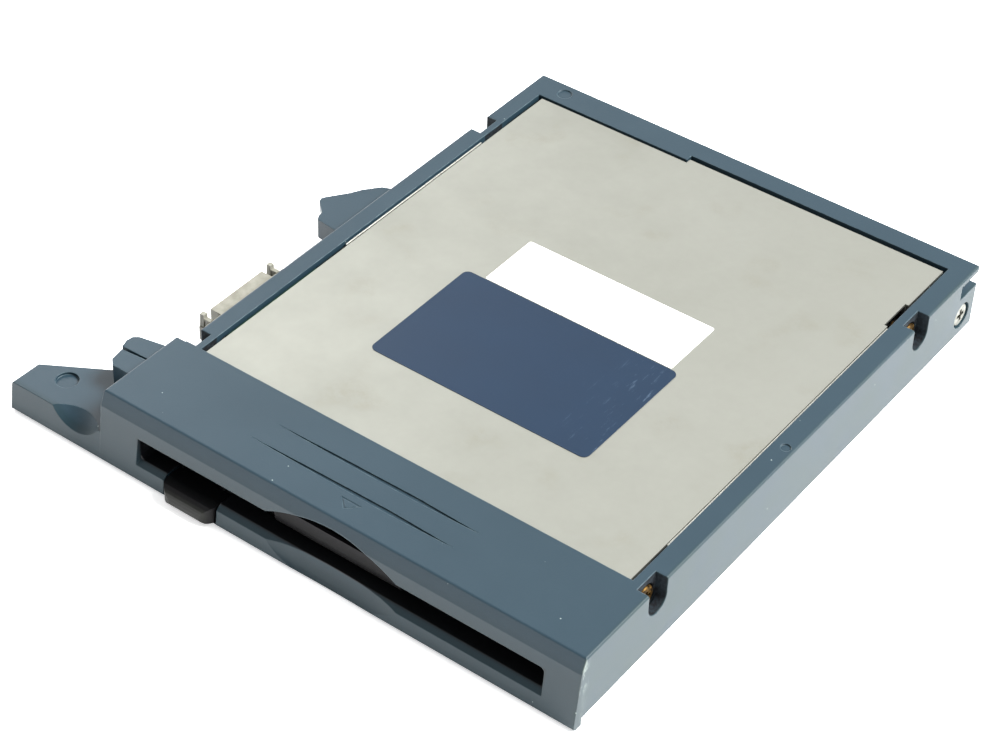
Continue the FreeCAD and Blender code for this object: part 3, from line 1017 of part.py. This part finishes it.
def ribbon(path, thickness, z0, z1):
    """Flat cable on edge: straight runs of one thickness, joined by round corners."""
    runs = []
    for (xa, ya), (xb, yb) in zip(path, path[1:]):
        length = math.hypot(xb - xa, yb - ya)
        nx, ny = -(yb - ya) / length * thickness / 2, (xb - xa) / length * thickness / 2
        runs.append(plate_xy([(xa + nx, ya + ny), (xb + nx, yb + ny), (xb - nx, yb - ny),
                              (xa - nx, ya - ny)], z0, z1))
    knees = [rod_z(x, y, z0, z1, thickness / 2) for x, y in path[1:-1]]
    return join(runs + knees)


# ---------------------------------------------------------------- labels
def labels():
    film = 0.1
    blue = rounded_plate(-25.0, -10.6, 24.6, 19.3, DRIVE_TOP, DRIVE_TOP + film, 1.4)
    white = rounded_plate(-20.6, 19.5, 22.7, 34.3, DRIVE_TOP, DRIVE_TOP + film, 0.4)
    piece("blue_label", blue)
    piece("white_label", white)


def build():
    case_frame()
    bottom_cover()
    case_screws()
    dock_connector()
    dust_door()
    eject_button()
    drive_top_cover()
    drive_chassis()
    disk_carrier()
    cam_slider()
    shutter_lever()
    spindle_motor()
    media_switches()
    stepper()
    guide_rod()
    head_carriage()
    electronics()
    labels()
    os.makedirs("parts", exist_ok=True)
    for name, shape in PIECES.items():
        shape.exportStep(os.path.join("parts", name + ".step"))


build()
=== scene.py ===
import bpy
import math
from mathutils import Matrix, Vector


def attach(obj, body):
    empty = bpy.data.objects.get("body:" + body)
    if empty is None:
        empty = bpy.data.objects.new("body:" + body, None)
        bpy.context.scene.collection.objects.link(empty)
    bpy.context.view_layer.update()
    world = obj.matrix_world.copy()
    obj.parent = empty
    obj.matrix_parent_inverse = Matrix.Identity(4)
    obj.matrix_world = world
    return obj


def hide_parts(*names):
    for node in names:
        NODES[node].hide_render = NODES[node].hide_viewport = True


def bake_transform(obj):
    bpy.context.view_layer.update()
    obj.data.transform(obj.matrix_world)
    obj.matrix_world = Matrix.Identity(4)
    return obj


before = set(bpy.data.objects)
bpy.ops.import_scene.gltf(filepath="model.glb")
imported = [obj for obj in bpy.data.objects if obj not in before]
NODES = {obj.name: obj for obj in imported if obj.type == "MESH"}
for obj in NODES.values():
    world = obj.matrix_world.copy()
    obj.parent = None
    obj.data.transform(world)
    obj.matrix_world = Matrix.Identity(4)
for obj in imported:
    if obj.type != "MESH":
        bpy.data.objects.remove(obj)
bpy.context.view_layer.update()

# Edit mode takes in every selected mesh, so the CAD nodes start unselected.
for thing in list(bpy.context.selected_objects):
    thing.select_set(False)


# ---- Bottom cover
# A flat steel sheet, blanked and zinc plated, let into the underside of the case.
# It is the first piece in the jig when the case is closed, and the drive lies just over it.

def colour(hex_code):
    """Linear colour of an sRGB hex code."""
    parts = [int(hex_code[i:i + 2], 16) / 255 for i in (1, 3, 5)]
    return tuple(c / 12.92 if c <= 0.04045 else ((c + 0.055) / 1.055) ** 2.4 for c in parts) + (1.0,)


def new_finish(name, base, roughness, metallic=0.0, specular=0.5):
    """A material with its Principled shader; uniform values sit on the shader itself."""
    mat = bpy.data.materials.new(name)
    mat.use_nodes = True
    shader = mat.node_tree.nodes["Principled BSDF"]
    shader.inputs["Base Color"].default_value = colour(base)
    shader.inputs["Roughness"].default_value = roughness
    shader.inputs["Metallic"].default_value = metallic
    shader.inputs["Specular IOR Level"].default_value = specular
    mat.diffuse_color = colour(base)
    return mat, shader


def add_node(mat, kind, settings=None, **sockets):
    """One shader node. A socket is given a value, or another node's output to link from."""
    node = mat.node_tree.nodes.new("ShaderNode" + kind)
    for key, value in (settings or {}).items():
        setattr(node, key, value)
    for key, value in sockets.items():
        key = key.replace("_", " ")
        socket = node.inputs[int(key[5:])] if key.startswith("input") else node.inputs[key]
        if isinstance(value, bpy.types.NodeSocket):
            mat.node_tree.links.new(value, socket)
        else:
            socket.default_value = value
    return node


def place(mat):
    """Object coordinates in metres, shared by the textures of one material."""
    return add_node(mat, "TexCoord").outputs["Object"]


def noise(mat, size_mm, detail=3.0, where=None, rough=0.55):
    """Noise whose lumps are about size_mm across."""
    return add_node(mat, "TexNoise", Vector=where or place(mat), Scale=1000.0 / size_mm, Detail=detail,
                    Roughness=rough).outputs["Fac"]


def remap(mat, value, low, high, out_low=0.0, out_high=1.0):
    """Straight ramp from out_low at low to out_high at high, held level beyond both."""
    return add_node(mat, "MapRange", Value=value, From_Min=low, From_Max=high, To_Min=out_low,
                    To_Max=out_high).outputs["Result"]


MIX_FIRST, MIX_SECOND, MIX_RESULT = 6, 7, 2     # the colour sockets of a Mix node


def blend_colour(mat, amount, first, second):
    """Mix of two colours, each a hex code or a socket."""
    node = add_node(mat, "Mix", {"data_type": "RGBA"}, Factor=amount)
    for index, value in ((MIX_FIRST, first), (MIX_SECOND, second)):
        if isinstance(value, str):
            node.inputs[index].default_value = colour(value)
        else:
            mat.node_tree.links.new(value, node.inputs[index])
    return node.outputs[MIX_RESULT]


def relief(mat, shader, height, depth_mm):
    """Bump of a real depth on the shader's normal."""
    bump = add_node(mat, "Bump", Height=height, Distance=depth_mm / 1000.0)
    mat.node_tree.links.new(bump.outputs["Normal"], shader.inputs["Normal"])


def join_up(mat, shader, **sockets):
    """Links outputs to the shader's inputs of those names."""
    for key, value in sockets.items():
        mat.node_tree.links.new(value, shader.inputs[key.replace("_", " ")])


def dress(mat, *names):
    """Gives CAD nodes their material."""
    for name in names:
        NODES[name].data.materials.clear()
        NODES[name].data.materials.append(mat)


def sheet_metal(name, base, dark, roughness, grain_mm=6.0):
    """Rolled and zinc plated steel: cloudy plating over a very fine grain."""
    mat, shader = new_finish(name, base, roughness, metallic=0.9)
    where = place(mat)
    cloud = noise(mat, grain_mm, 4.0, where)
    fine = noise(mat, 0.12, 2.0, where)
    join_up(mat, shader, Base_Color=blend_colour(mat, remap(mat, cloud, 0.35, 0.7), base, dark),
            Roughness=remap(mat, cloud, 0.3, 0.7, roughness - 0.06, roughness + 0.08))
    relief(mat, shader, fine, 0.004)
    return mat


cover_zinc = sheet_metal("zinc_plated_cover_sheet", "#B9BBB6", "#A6A9A6", 0.42)
dress(cover_zinc, "bottom_cover")


# ---- Case moulding
# Blue-grey ABS, moulded in one piece: front block with the disk slot, side rails, rear rail, the ear
# on the left and the two docking hooks. Fine spark-eroded texture, rubbed edges, and the wear of hands,
# with a painted highlight on the edges and painted shade on the front face and in the slot's throat.

CASE_ROUGHNESS, NOTCH_ROUGHNESS = 0.42, 0.95
EDGE_ROUND = 0.00025
# Where each mark fades, in metres along one axis; the highlit scuff fades by its distance from the corner.
HIGHLIT_SCUFF_CENTRE, HIGHLIT_SCUFF_REACH = (0.053, -0.0518, 0.0075), (0.010, 0.003)
HANDLED_X, CHIPPED_X = (0.0522, 0.0527), (0.0528, 0.05295)
CHIPPED_Y, CHIPPED_Z = (-0.0490, -0.0505), (0.0055, 0.0085)
FRONT_SHADE_Y = (-0.0508, -0.0516)
THROAT_FRONT, THROAT_REAR = (-0.0523, -0.0512), (-0.0440, -0.0435)
THROAT_FLOOR, THROAT_ROOF, THROAT_END = (0.0027, 0.0031), (0.0083, 0.0080), (0.0464, 0.0458)
NOTCH_HALF, NOTCH_FADE, NOTCH_AT = 0.0028, 0.0003, (-0.0291, 0.0600)
NOTCH_INNER, NOTCH_OUTER, NOTCH_TOP = (0.0486, 0.0489), (0.0529, 0.0527), (0.0138, 0.0136)


def multiply(mat, first, second):
    """Product of two values."""
    return add_node(mat, "Math", {"operation": "MULTIPLY"}, input0=first, input1=second).outputs["Value"]


case_abs, shader = new_finish("moulded_blue_grey_abs", "#22323D", CASE_ROUGHNESS, specular=0.32)
where = place(case_abs)
axes = add_node(case_abs, "SeparateXYZ", Vector=where).outputs
cloud = noise(case_abs, 22.0, 3.0, where)
tone = blend_colour(case_abs, remap(case_abs, cloud, 0.3, 0.7), "#243640", "#20323C")

# Edges are rounded in the shading, and their crests are painted pale, partly as wear and partly as a
# painted highlight, most at the right front corner.
rounded = add_node(case_abs, "Bevel", {"samples": 8}, Radius=EDGE_ROUND)
flat = add_node(case_abs, "NewGeometry")
edge = add_node(case_abs, "VectorMath", {"operation": "DOT_PRODUCT"}, input0=rounded.outputs["Normal"],
                input1=flat.outputs["True Normal"]).outputs["Value"]
patchy = remap(case_abs, noise(case_abs, 1.5, 4.0, where), 0.4, 0.62, 0.15, 0.8)
rubbed_and_highlit = multiply(case_abs, remap(case_abs, edge, 0.97, 0.8), patchy)
tone = blend_colour(case_abs, rubbed_and_highlit, tone, "#62757A")
corner = add_node(case_abs, "VectorMath", {"operation": "DISTANCE"}, input0=where,
                  input1=HIGHLIT_SCUFF_CENTRE).outputs["Value"]
scuffed_and_highlit = multiply(case_abs, remap(case_abs, corner, *HIGHLIT_SCUFF_REACH), remap(case_abs, edge, 0.995, 0.86))
scuffed_and_highlit = multiply(case_abs, scuffed_and_highlit,
                   remap(case_abs, noise(case_abs, 0.8, 5.0, where, 0.7), 0.45, 0.6, 0.0, 0.8))
tone = blend_colour(case_abs, scuffed_and_highlit, tone, "#7C8B8C")

# The right wall is dulled by handling, and chipped pale just behind its front edge.
handled = multiply(case_abs, remap(case_abs, axes["X"], *HANDLED_X),
                   remap(case_abs, noise(case_abs, 9.0, 4.0, where), 0.35, 0.65, 0.3, 1.0))
tone = blend_colour(case_abs, handled, tone, "#223437")
upright = add_node(case_abs, "Mapping", Vector=where, Location=(0.0, 0.0, 0.013),
                   Scale=(1.0, 1.0, 0.5)).outputs["Vector"]
chipped = remap(case_abs, noise(case_abs, 1.3, 5.0, upright, 0.65), 0.49, 0.57, 0.0, 0.75)
for axis, span, least in (("Y", CHIPPED_Y, 0.0), ("X", CHIPPED_X, 0.0), ("Z", CHIPPED_Z, 0.1)):
    chipped = multiply(case_abs, chipped, remap(case_abs, axes[axis], *span, least))
tone = blend_colour(case_abs, chipped, tone, "#77837D")

# Painted shade: the front of the block is coloured darker.
tone = blend_colour(case_abs, remap(case_abs, axes["Y"], *FRONT_SHADE_Y, 0.0, 0.6), tone, "#162A30")

# Pale dust caught in the texture, in specks about 0.2 mm across.
cell = add_node(case_abs, "TexVoronoi", Vector=where, Scale=260.0, Randomness=1.0)
dust = multiply(case_abs, remap(case_abs, cell.outputs["Distance"], 0.04, 0.022, 0.0, 0.65),
                remap(case_abs, noise(case_abs, 7.0, 2.0, where), 0.42, 0.52))
tone = blend_colour(case_abs, dust, tone, "#A9B8B6")

# Painted shade: the throat of the disk slot is coloured near black from a millimetre in to its rear end.
depth = multiply(case_abs, remap(case_abs, axes["Y"], *THROAT_FRONT),
                 remap(case_abs, axes["Y"], *THROAT_REAR, 1.0, 0.0))
throat_shade = multiply(case_abs, remap(case_abs, axes["Z"], *THROAT_FLOOR),
                  remap(case_abs, axes["Z"], *THROAT_ROOF))
across = add_node(case_abs, "Math", {"operation": "ABSOLUTE"}, input0=axes["X"]).outputs["Value"]
throat_shade = multiply(case_abs, throat_shade, remap(case_abs, across, *THROAT_END))
tone = blend_colour(case_abs, multiply(case_abs, depth, throat_shade), tone, "#0B0C0F")

# The four notches over the screws of the drive are coloured near black in patches, and made rougher.
notched = multiply(case_abs, remap(case_abs, across, *NOTCH_INNER), remap(case_abs, across, *NOTCH_OUTER))
notched = multiply(case_abs, notched, remap(case_abs, axes["Z"], *NOTCH_TOP))
notch_patches = remap(case_abs, noise(case_abs, 0.9, 5.0, where, 0.7), 0.42, 0.58, 1.0, 0.7)
notch_darkening = 0.0
for y in NOTCH_AT:
    offset = add_node(case_abs, "Math", {"operation": "SUBTRACT"}, input0=axes["Y"], input1=y)
    offset = add_node(case_abs, "Math", {"operation": "ABSOLUTE"}, input0=offset.outputs["Value"])
    here = multiply(case_abs, notched,
                    remap(case_abs, offset.outputs["Value"], NOTCH_HALF + NOTCH_FADE, NOTCH_HALF))
    notch_darkening = add_node(case_abs, "Math", {"operation": "ADD"}, input0=multiply(case_abs, here, notch_patches),
                     input1=notch_darkening).outputs["Value"]
tone = blend_colour(case_abs, notch_darkening, tone, "#0A0D12")
join_up(case_abs, shader, Base_Color=tone,
        Roughness=remap(case_abs, notch_darkening, 0.0, 1.0, CASE_ROUGHNESS, NOTCH_ROUGHNESS))
grain = add_node(case_abs, "Bump", Height=noise(case_abs, 0.25, 3.0, where, 0.6), Distance=0.000012,
                 Normal=rounded.outputs["Normal"])
join_up(case_abs, shader, Normal=grain.outputs["Normal"])
dress(case_abs, "case_frame")


# ---- Screws of the case
# Countersunk screws in the bottom cover, one pan head in the right wall, and four yellow-chromated
# ones that hold the drive. All are cold headed, with a cross recess.

dress(sheet_metal("nickelled_screw", "#8E8F87", "#66675F", 0.4, 1.2), "cover_screws", "side_wall_screw")
dress(sheet_metal("yellow_chromate_screw", "#0F0C08", "#75592C", 0.5, 0.6), "drive_fixing_screws")


# ---- Docking connector
# Cream LCP housing with two guide prongs, gold-flashed contacts and the small board behind it. The
# socket of the ribbon is of the same cream, and the other two boards have the same green mask.

cream, shader = new_finish("cream_connector_moulding", "#7C7B70", 0.42)
where = place(cream)
soiled = remap(cream, noise(cream, 2.5, 4.0, where), 0.42, 0.66)
join_up(cream, shader, Base_Color=blend_colour(cream, soiled, "#7E7D72", "#6B695D"))
relief(cream, shader, noise(cream, 0.3, 3.0, where), 0.008)
dress(cream, "dock_connector_housing", "ribbon_socket")
dress(sheet_metal("gold_flash", "#D9B35A", "#C09848", 0.25, 1.0), "dock_connector_contacts")
board, shader = new_finish("green_solder_mask", "#1E5038", 0.35)
join_up(board, shader, Base_Color=blend_colour(board, noise(board, 2.0), "#1E5038", "#2A6244"))
dress(board, "connector_board", "main_board", "motor_board")


# ---- Dust door
# Dark grey acetal flap behind the slot, hung on two pins and pushed shut by a small torsion spring.
# Its lower part is coloured black as painted shade, fading up to its own dark grey at the crest of its
# swelling.

door_acetal, shader = new_finish("dark_grey_acetal", "#151617", 0.5, specular=0.12)
where = place(door_acetal)
height = add_node(door_acetal, "SeparateXYZ", Vector=where).outputs["Z"]
# Painted shade: black below the first height, the door's own dark grey above the second.
SHADE_FADE_LOW, SHADE_FADE_HIGH = 0.0068, 0.0091
door_shade = remap(door_acetal, height, SHADE_FADE_LOW, SHADE_FADE_HIGH)
join_up(door_acetal, shader, Base_Color=blend_colour(door_acetal, door_shade, "#040405", "#161517"))
relief(door_acetal, shader, noise(door_acetal, 0.4, 3.0, where), 0.01)
dress(door_acetal, "dust_door")
spring_wire = sheet_metal("drawn_spring_wire", "#8E8F90", "#6E6F70", 0.3, 1.0)
dress(spring_wire, "door_spring", "slider_springs", "lever_spring", "arm_spring")


# ---- Eject button
# Near-black ABS key on the front of the slider, at the left end of the slot. Its rounded front edge has a
# painted highlight of olive grey.

key_black, shader = new_finish("black_key_plastic", "#0A0A0B", 0.4, specular=0.2)
where = place(key_black)
front = add_node(key_black, "SeparateXYZ", Vector=where).outputs["Y"]
# Painted highlight: olive grey on the front edge, fading in between these two places along Y.
HIGHLIGHT_FROM, HIGHLIGHT_FULLY = -0.0536, -0.0542
front_edge_highlight = multiply(key_black, remap(key_black, front, HIGHLIGHT_FROM, HIGHLIGHT_FULLY),
                remap(key_black, noise(key_black, 1.2, 4.0, where), 0.3, 0.7, 0.5, 1.0))
join_up(key_black, shader, Base_Color=blend_colour(key_black, front_edge_highlight, "#08080A", "#171914"))
relief(key_black, shader, noise(key_black, 0.3, 3.0, where), 0.01)
dress(key_black, "eject_button")


# ---- Lid of the drive
# Pressed steel lid with a satin plating, stepped down under the front block and folded down in short
# lengths at its sides.

lid_satin, shader = new_finish("satin_plated_lid", "#9D9E96", 0.42, metallic=0.95)
where = place(lid_satin)
smudge = noise(lid_satin, 30.0, 5.0, where, 0.6)
plating = blend_colour(lid_satin, remap(lid_satin, smudge, 0.35, 0.7), "#A2A39B", "#96978F")
stain = multiply(lid_satin, remap(lid_satin, noise(lid_satin, 14.0, 2.0, where, 0.5), 0.58, 0.72, 0.0, 0.3),
                 remap(lid_satin, noise(lid_satin, 3.0, 5.0, where, 0.7), 0.4, 0.6, 0.2, 1.0))
plating = blend_colour(lid_satin, stain, plating, "#8C897A")
rolled = add_node(lid_satin, "Mapping", Vector=where, Scale=(1.0, 0.03, 1.0)).outputs["Vector"]
join_up(lid_satin, shader, Base_Color=plating,
        Roughness=remap(lid_satin, smudge, 0.3, 0.7, 0.46, 0.56))
relief(lid_satin, shader, noise(lid_satin, 0.35, 3.0, rolled), 0.003)
dress(lid_satin, "drive_top_cover")

# The folded sides stand a little outside the plate with rounded upper edges, and are made paler than the
# lid as a painted highlight.
LIP_WIDTH, LIP_TOP, LIP_FOOT, LIP_BEVEL = 0.00034, 0.01350, 0.0092, 0.00012
SMOOTH_ANGLE = math.radians(40)
LIPS = {"lid_lip_left": (-0.04858, 0.0112, 0.0550), "lid_lip_right": (0.04828, -0.0195, 0.0550)}
lip_highlight_metal = sheet_metal("lid_lip_painted_highlight", "#D4D3CB", "#B9B8AF", 0.3, 2.0)
for name, (x, y0, y1) in LIPS.items():
    bpy.ops.mesh.primitive_cube_add(size=1.0, location=(x, (y0 + y1) / 2, (LIP_FOOT + LIP_TOP) / 2),
                                    scale=(LIP_WIDTH, y1 - y0, LIP_TOP - LIP_FOOT))
    lip = bpy.context.object
    lip.name = name
    bpy.ops.object.transform_apply(location=True, rotation=True, scale=True)
    bpy.ops.object.mode_set(mode="EDIT")
    bpy.ops.mesh.select_mode(type="EDGE")
    bpy.ops.mesh.select_all(action="DESELECT")
    bpy.ops.object.mode_set(mode="OBJECT")
    for line in lip.data.edges:
        ends = [lip.data.vertices[i].co for i in line.vertices]
        at_top = all(co.z > LIP_TOP - LIP_BEVEL for co in ends)
        line.select = at_top and abs(ends[0].y - ends[1].y) > LIP_WIDTH
    bpy.ops.object.mode_set(mode="EDIT")
    bpy.ops.mesh.bevel(offset=LIP_BEVEL, segments=3, affect="EDGES")
    bpy.ops.mesh.select_all(action="DESELECT")
    bpy.ops.object.mode_set(mode="OBJECT")
    bpy.ops.object.shade_smooth_by_angle(angle=SMOOTH_ANGLE)
    lip.data.materials.append(lip_highlight_metal)
    lip.select_set(False)
    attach(lip, "case")


# ---- Chassis, carrier and slider
# Zinc plated steel pressings: the drive's base with its side walls, the cradle that lowers the disk,
# and the slider whose ramps do it. The lever, the stepper and the rotor are plated alike.

works_zinc = sheet_metal("zinc_plated_works", "#B4B6B2", "#9FA29F", 0.38)
dress(works_zinc, "drive_chassis", "disk_carrier", "cam_slider", "shutter_lever", "stepper_bracket",
      "stepper_motor", "spindle_rotor", "stator_core")
ground_steel = sheet_metal("ground_steel", "#C8C9CA", "#B0B1B2", 0.22, 3.0)
dress(ground_steel, "carrier_guide_pins", "lever_post", "spindle_shaft", "drive_pin", "lead_screw",
      "guide_rod", "arm_pivot_pin")

# The two slider springs are hooked to the case in front and to the slider behind, so each closes up as
# the slider comes forward. A merged copy of the pair stands for them.
MERGE_GAP = 0.000002


def loosened(node, name, cuts=0):
    """A merged copy of a node that stands for it; cuts divides its long faces."""
    copy = NODES[node].copy()
    copy.data = NODES[node].data.copy()
    copy.name = name
    copy.parent = None
    bpy.context.scene.collection.objects.link(copy)
    copy.select_set(True)
    bpy.context.view_layer.objects.active = copy
    bpy.ops.object.mode_set(mode="EDIT")
    bpy.ops.mesh.select_all(action="SELECT")
    bpy.ops.mesh.remove_doubles(threshold=MERGE_GAP)
    if cuts:
        bpy.ops.mesh.subdivide(number_cuts=cuts)
    bpy.ops.mesh.select_all(action="DESELECT")
    bpy.ops.object.mode_set(mode="OBJECT")
    bpy.ops.object.shade_smooth_by_angle(angle=SMOOTH_ANGLE)
    copy.select_set(False)
    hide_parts(node)
    return copy


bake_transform(loosened("slider_springs", "slider_spring_wires"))


# ---- Spindle motor
# Flat motor under the disk: copper coils on a pressed core, a ferrite ring and a steel rotor. Its
# shaft turns in a sintered bronze bearing.

copper, shader = new_finish("enamelled_copper", "#B4602E", 0.35, metallic=0.8)
join_up(copper, shader, Base_Color=blend_colour(copper, noise(copper, 0.5), "#B4602E", "#8A4520"))
dress(copper, "stator_coils")
ferrite, shader = new_finish("bonded_ferrite", "#2A2929", 0.6)
relief(ferrite, shader, noise(ferrite, 0.2), 0.02)
dress(ferrite, "ring_magnet", "hub_magnet")
dress(sheet_metal("sintered_bronze", "#A07840", "#7E5E34", 0.4, 0.6), "spindle_bearing")


# ---- Sensors and heads
# Ceramic heads on the moulded black carriage and its arm, and the black bodies of the sensors and
# clamps. The two plungers and the bearing of the lead screw are of white acetal.

black_moulding, shader = new_finish("black_glass_filled_moulding", "#1B1B1D", 0.45)
relief(black_moulding, shader, noise(black_moulding, 0.3), 0.015)
dress(black_moulding, "media_switch_bodies", "guide_rod_clamps", "head_carriage", "upper_head_arm",
      "track_zero_sensor", "board_chips")
white_acetal, shader = new_finish("white_acetal", "#E4E3DC", 0.35)
relief(white_acetal, shader, noise(white_acetal, 0.3), 0.008)
dress(white_acetal, "disk_in_plunger", "write_protect_plunger", "lead_screw_bearing")
ceramic, shader = new_finish("lapped_ceramic", "#4A4F55", 0.18)
join_up(ceramic, shader, Roughness=remap(ceramic, noise(ceramic, 0.6), 0.3, 0.7, 0.14, 0.24))
dress(ceramic, "lower_head", "upper_head")


# ---- Ribbons
# Grey flat cable to the docking connector, and the amber strip to the heads. The strip is held by the
# board at one end and by the carriage at the other, and folds between them.

ribbon_grey, shader = new_finish("grey_ribbon_pvc", "#8B8E92", 0.5)
relief(ribbon_grey, shader, noise(ribbon_grey, 0.6), 0.02)
dress(ribbon_grey, "ribbon_cable")
amber, shader = new_finish("amber_polyimide", "#B06A20", 0.3)
join_up(amber, shader, Base_Color=blend_colour(amber, noise(amber, 1.5), "#B06A20", "#9A5818"))
dress(amber, "head_flex")
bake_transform(loosened("head_flex", "head_flex_strip", cuts=7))


# ---- Labels
# A blue film label and a plain white paper one, stuck side by side on the lid. Both are blank; the
# blue one is rubbed in streaks at its right end.

FILM_ROUGHNESS, RUBS_ROUGHNESS, RUBS_MOST = 0.36, 0.6, 0.8
blue_film, shader = new_finish("blue_label_film", "#0A2036", FILM_ROUGHNESS, specular=0.35)
where = place(blue_film)
film = blend_colour(blue_film, noise(blue_film, 12.0, 3.0, where), "#062239", "#051E33")
streaks = add_node(blue_film, "Mapping", Vector=where, Rotation=(0.0, 0.0, 0.35),
                   Scale=(1.0, 0.12, 1.0)).outputs["Vector"]
along = add_node(blue_film, "SeparateXYZ", Vector=where).outputs["X"]
RUBS_FROM, RUBS_FULLY = 0.012, 0.032
rubs = remap(blue_film, noise(blue_film, 0.6, 5.0, streaks, 0.7), 0.6, 0.68, 0.0, RUBS_MOST)
rubs = multiply(blue_film, rubs, remap(blue_film, along, RUBS_FROM, RUBS_FULLY))
join_up(blue_film, shader, Base_Color=blend_colour(blue_film, rubs, film, "#54687C"),
        Roughness=remap(blue_film, rubs, 0.0, RUBS_MOST, FILM_ROUGHNESS, RUBS_ROUGHNESS))
relief(blue_film, shader, noise(blue_film, 0.5, 2.0, where), 0.004)
dress(blue_film, "blue_label")
paper, shader = new_finish("white_label_paper", "#F0F1EB", 0.55)
where = place(paper)
yellowed = remap(paper, noise(paper, 6.0, 5.0, where), 0.5, 0.75, 0.0, 0.6)
join_up(paper, shader, Base_Color=blend_colour(paper, yellowed, "#F2F3EE", "#DEDDD2"))
relief(paper, shader, noise(paper, 0.3, 3.0, where), 0.006)
dress(paper, "white_label")


# ---- Table, light and camera
# Plain white table just under the front lip, which hangs lower than the case. A soft sky, brightest
# at the left, a broad lamp at the right rear, a weak one at the left rear, and the camera.

TABLE_SIZE, TABLE_Z = 6.0, -0.0018
bpy.ops.mesh.primitive_plane_add(size=TABLE_SIZE, location=(0, 0, TABLE_Z))
table = bpy.context.object
table.name = "table"
white_top, shader = new_finish("white_table_top", "#FFFFFF", 0.6, specular=0.2)
shader.inputs["Emission Color"].default_value = (1, 1, 1, 1)
shader.inputs["Emission Strength"].default_value = 0.5
table.data.materials.append(white_top)

scene = bpy.context.scene
scene.view_settings.view_transform = "Standard"
scene.world = bpy.data.worlds.new("soft_sky")
scene.world.use_nodes = True
sky = scene.world.node_tree
sky.nodes["Background"].inputs["Color"].default_value = (1, 1, 1, 1)


def sky_part(facing, low, high, out_low, out_high):
    """Brightness of the sky by how far a direction turns towards one side."""
    turn = sky.nodes.new("ShaderNodeVectorMath")
    turn.operation = "DOT_PRODUCT"
    sky.links.new(sky.nodes["looking"].outputs["Generated"], turn.inputs[0])
    turn.inputs[1].default_value = Vector(facing).normalized()
    part = sky.nodes.new("ShaderNodeMapRange")
    part.interpolation_type = "SMOOTHSTEP"
    sky.links.new(turn.outputs["Value"], part.inputs["Value"])
    for name, value in (("From Min", low), ("From Max", high), ("To Min", out_low), ("To Max", out_high)):
        part.inputs[name].default_value = value
    return part.outputs["Result"]


sky.nodes.new("ShaderNodeTexCoord").name = "looking"
total = sky.nodes.new("ShaderNodeMath")
sky.links.new(sky_part((-0.85, 0.4, -0.2), -0.5, 0.85, 0.30, 1.30), total.inputs[0])
sky.links.new(sky_part((1.0, 0.1, 0.15), 0.0, 0.9, 0.0, 0.6), total.inputs[1])
sky.links.new(total.outputs["Value"], sky.nodes["Background"].inputs["Strength"])


def lamp(name, spot, aim, size, power):
    """A square softbox at spot, turned to aim; size in metres and power in watts."""
    data = bpy.data.lights.new(name, "AREA")
    data.shape = "SQUARE"
    data.size = size
    data.energy = power
    holder = bpy.data.objects.new(name, data)
    scene.collection.objects.link(holder)
    holder.location = spot
    holder.rotation_mode = "QUATERNION"
    holder.rotation_quaternion = (Vector(aim) - Vector(spot)).to_track_quat("-Z", "Y")


lamp("right_rear_softbox", (1.30, 0.65, 1.80), (0, 0, 0), 0.9, 150.0)
lamp("left_rear_softbox", (-1.40, 0.90, 1.00), (0, 0, 0), 0.6, 8.0)

azimuth, elevation, roll = (math.radians(a) for a in (35.766, 40.695, 1.727))
target, distance = Vector((-0.004994, 0.003666, 0.008)), 0.481219
back = Vector((math.sin(azimuth) * math.cos(elevation), -math.cos(azimuth) * math.cos(elevation),
               math.sin(elevation)))
side = Vector((math.cos(azimuth), math.sin(azimuth), 0))
up = back.cross(side)
right = side * math.cos(roll) + up * math.sin(roll)
above = up * math.cos(roll) - side * math.sin(roll)
camera = bpy.data.objects.new("camera", bpy.data.cameras.new("camera"))
scene.collection.objects.link(camera)
camera.data.lens = 92.08
camera.data.sensor_width = 36.0
camera.data.clip_start, camera.data.clip_end = 0.01, 20.0
pose = Matrix((right, above, back)).transposed().to_4x4()
pose.translation = target + back * distance
camera.matrix_world = pose
scene.camera = camera
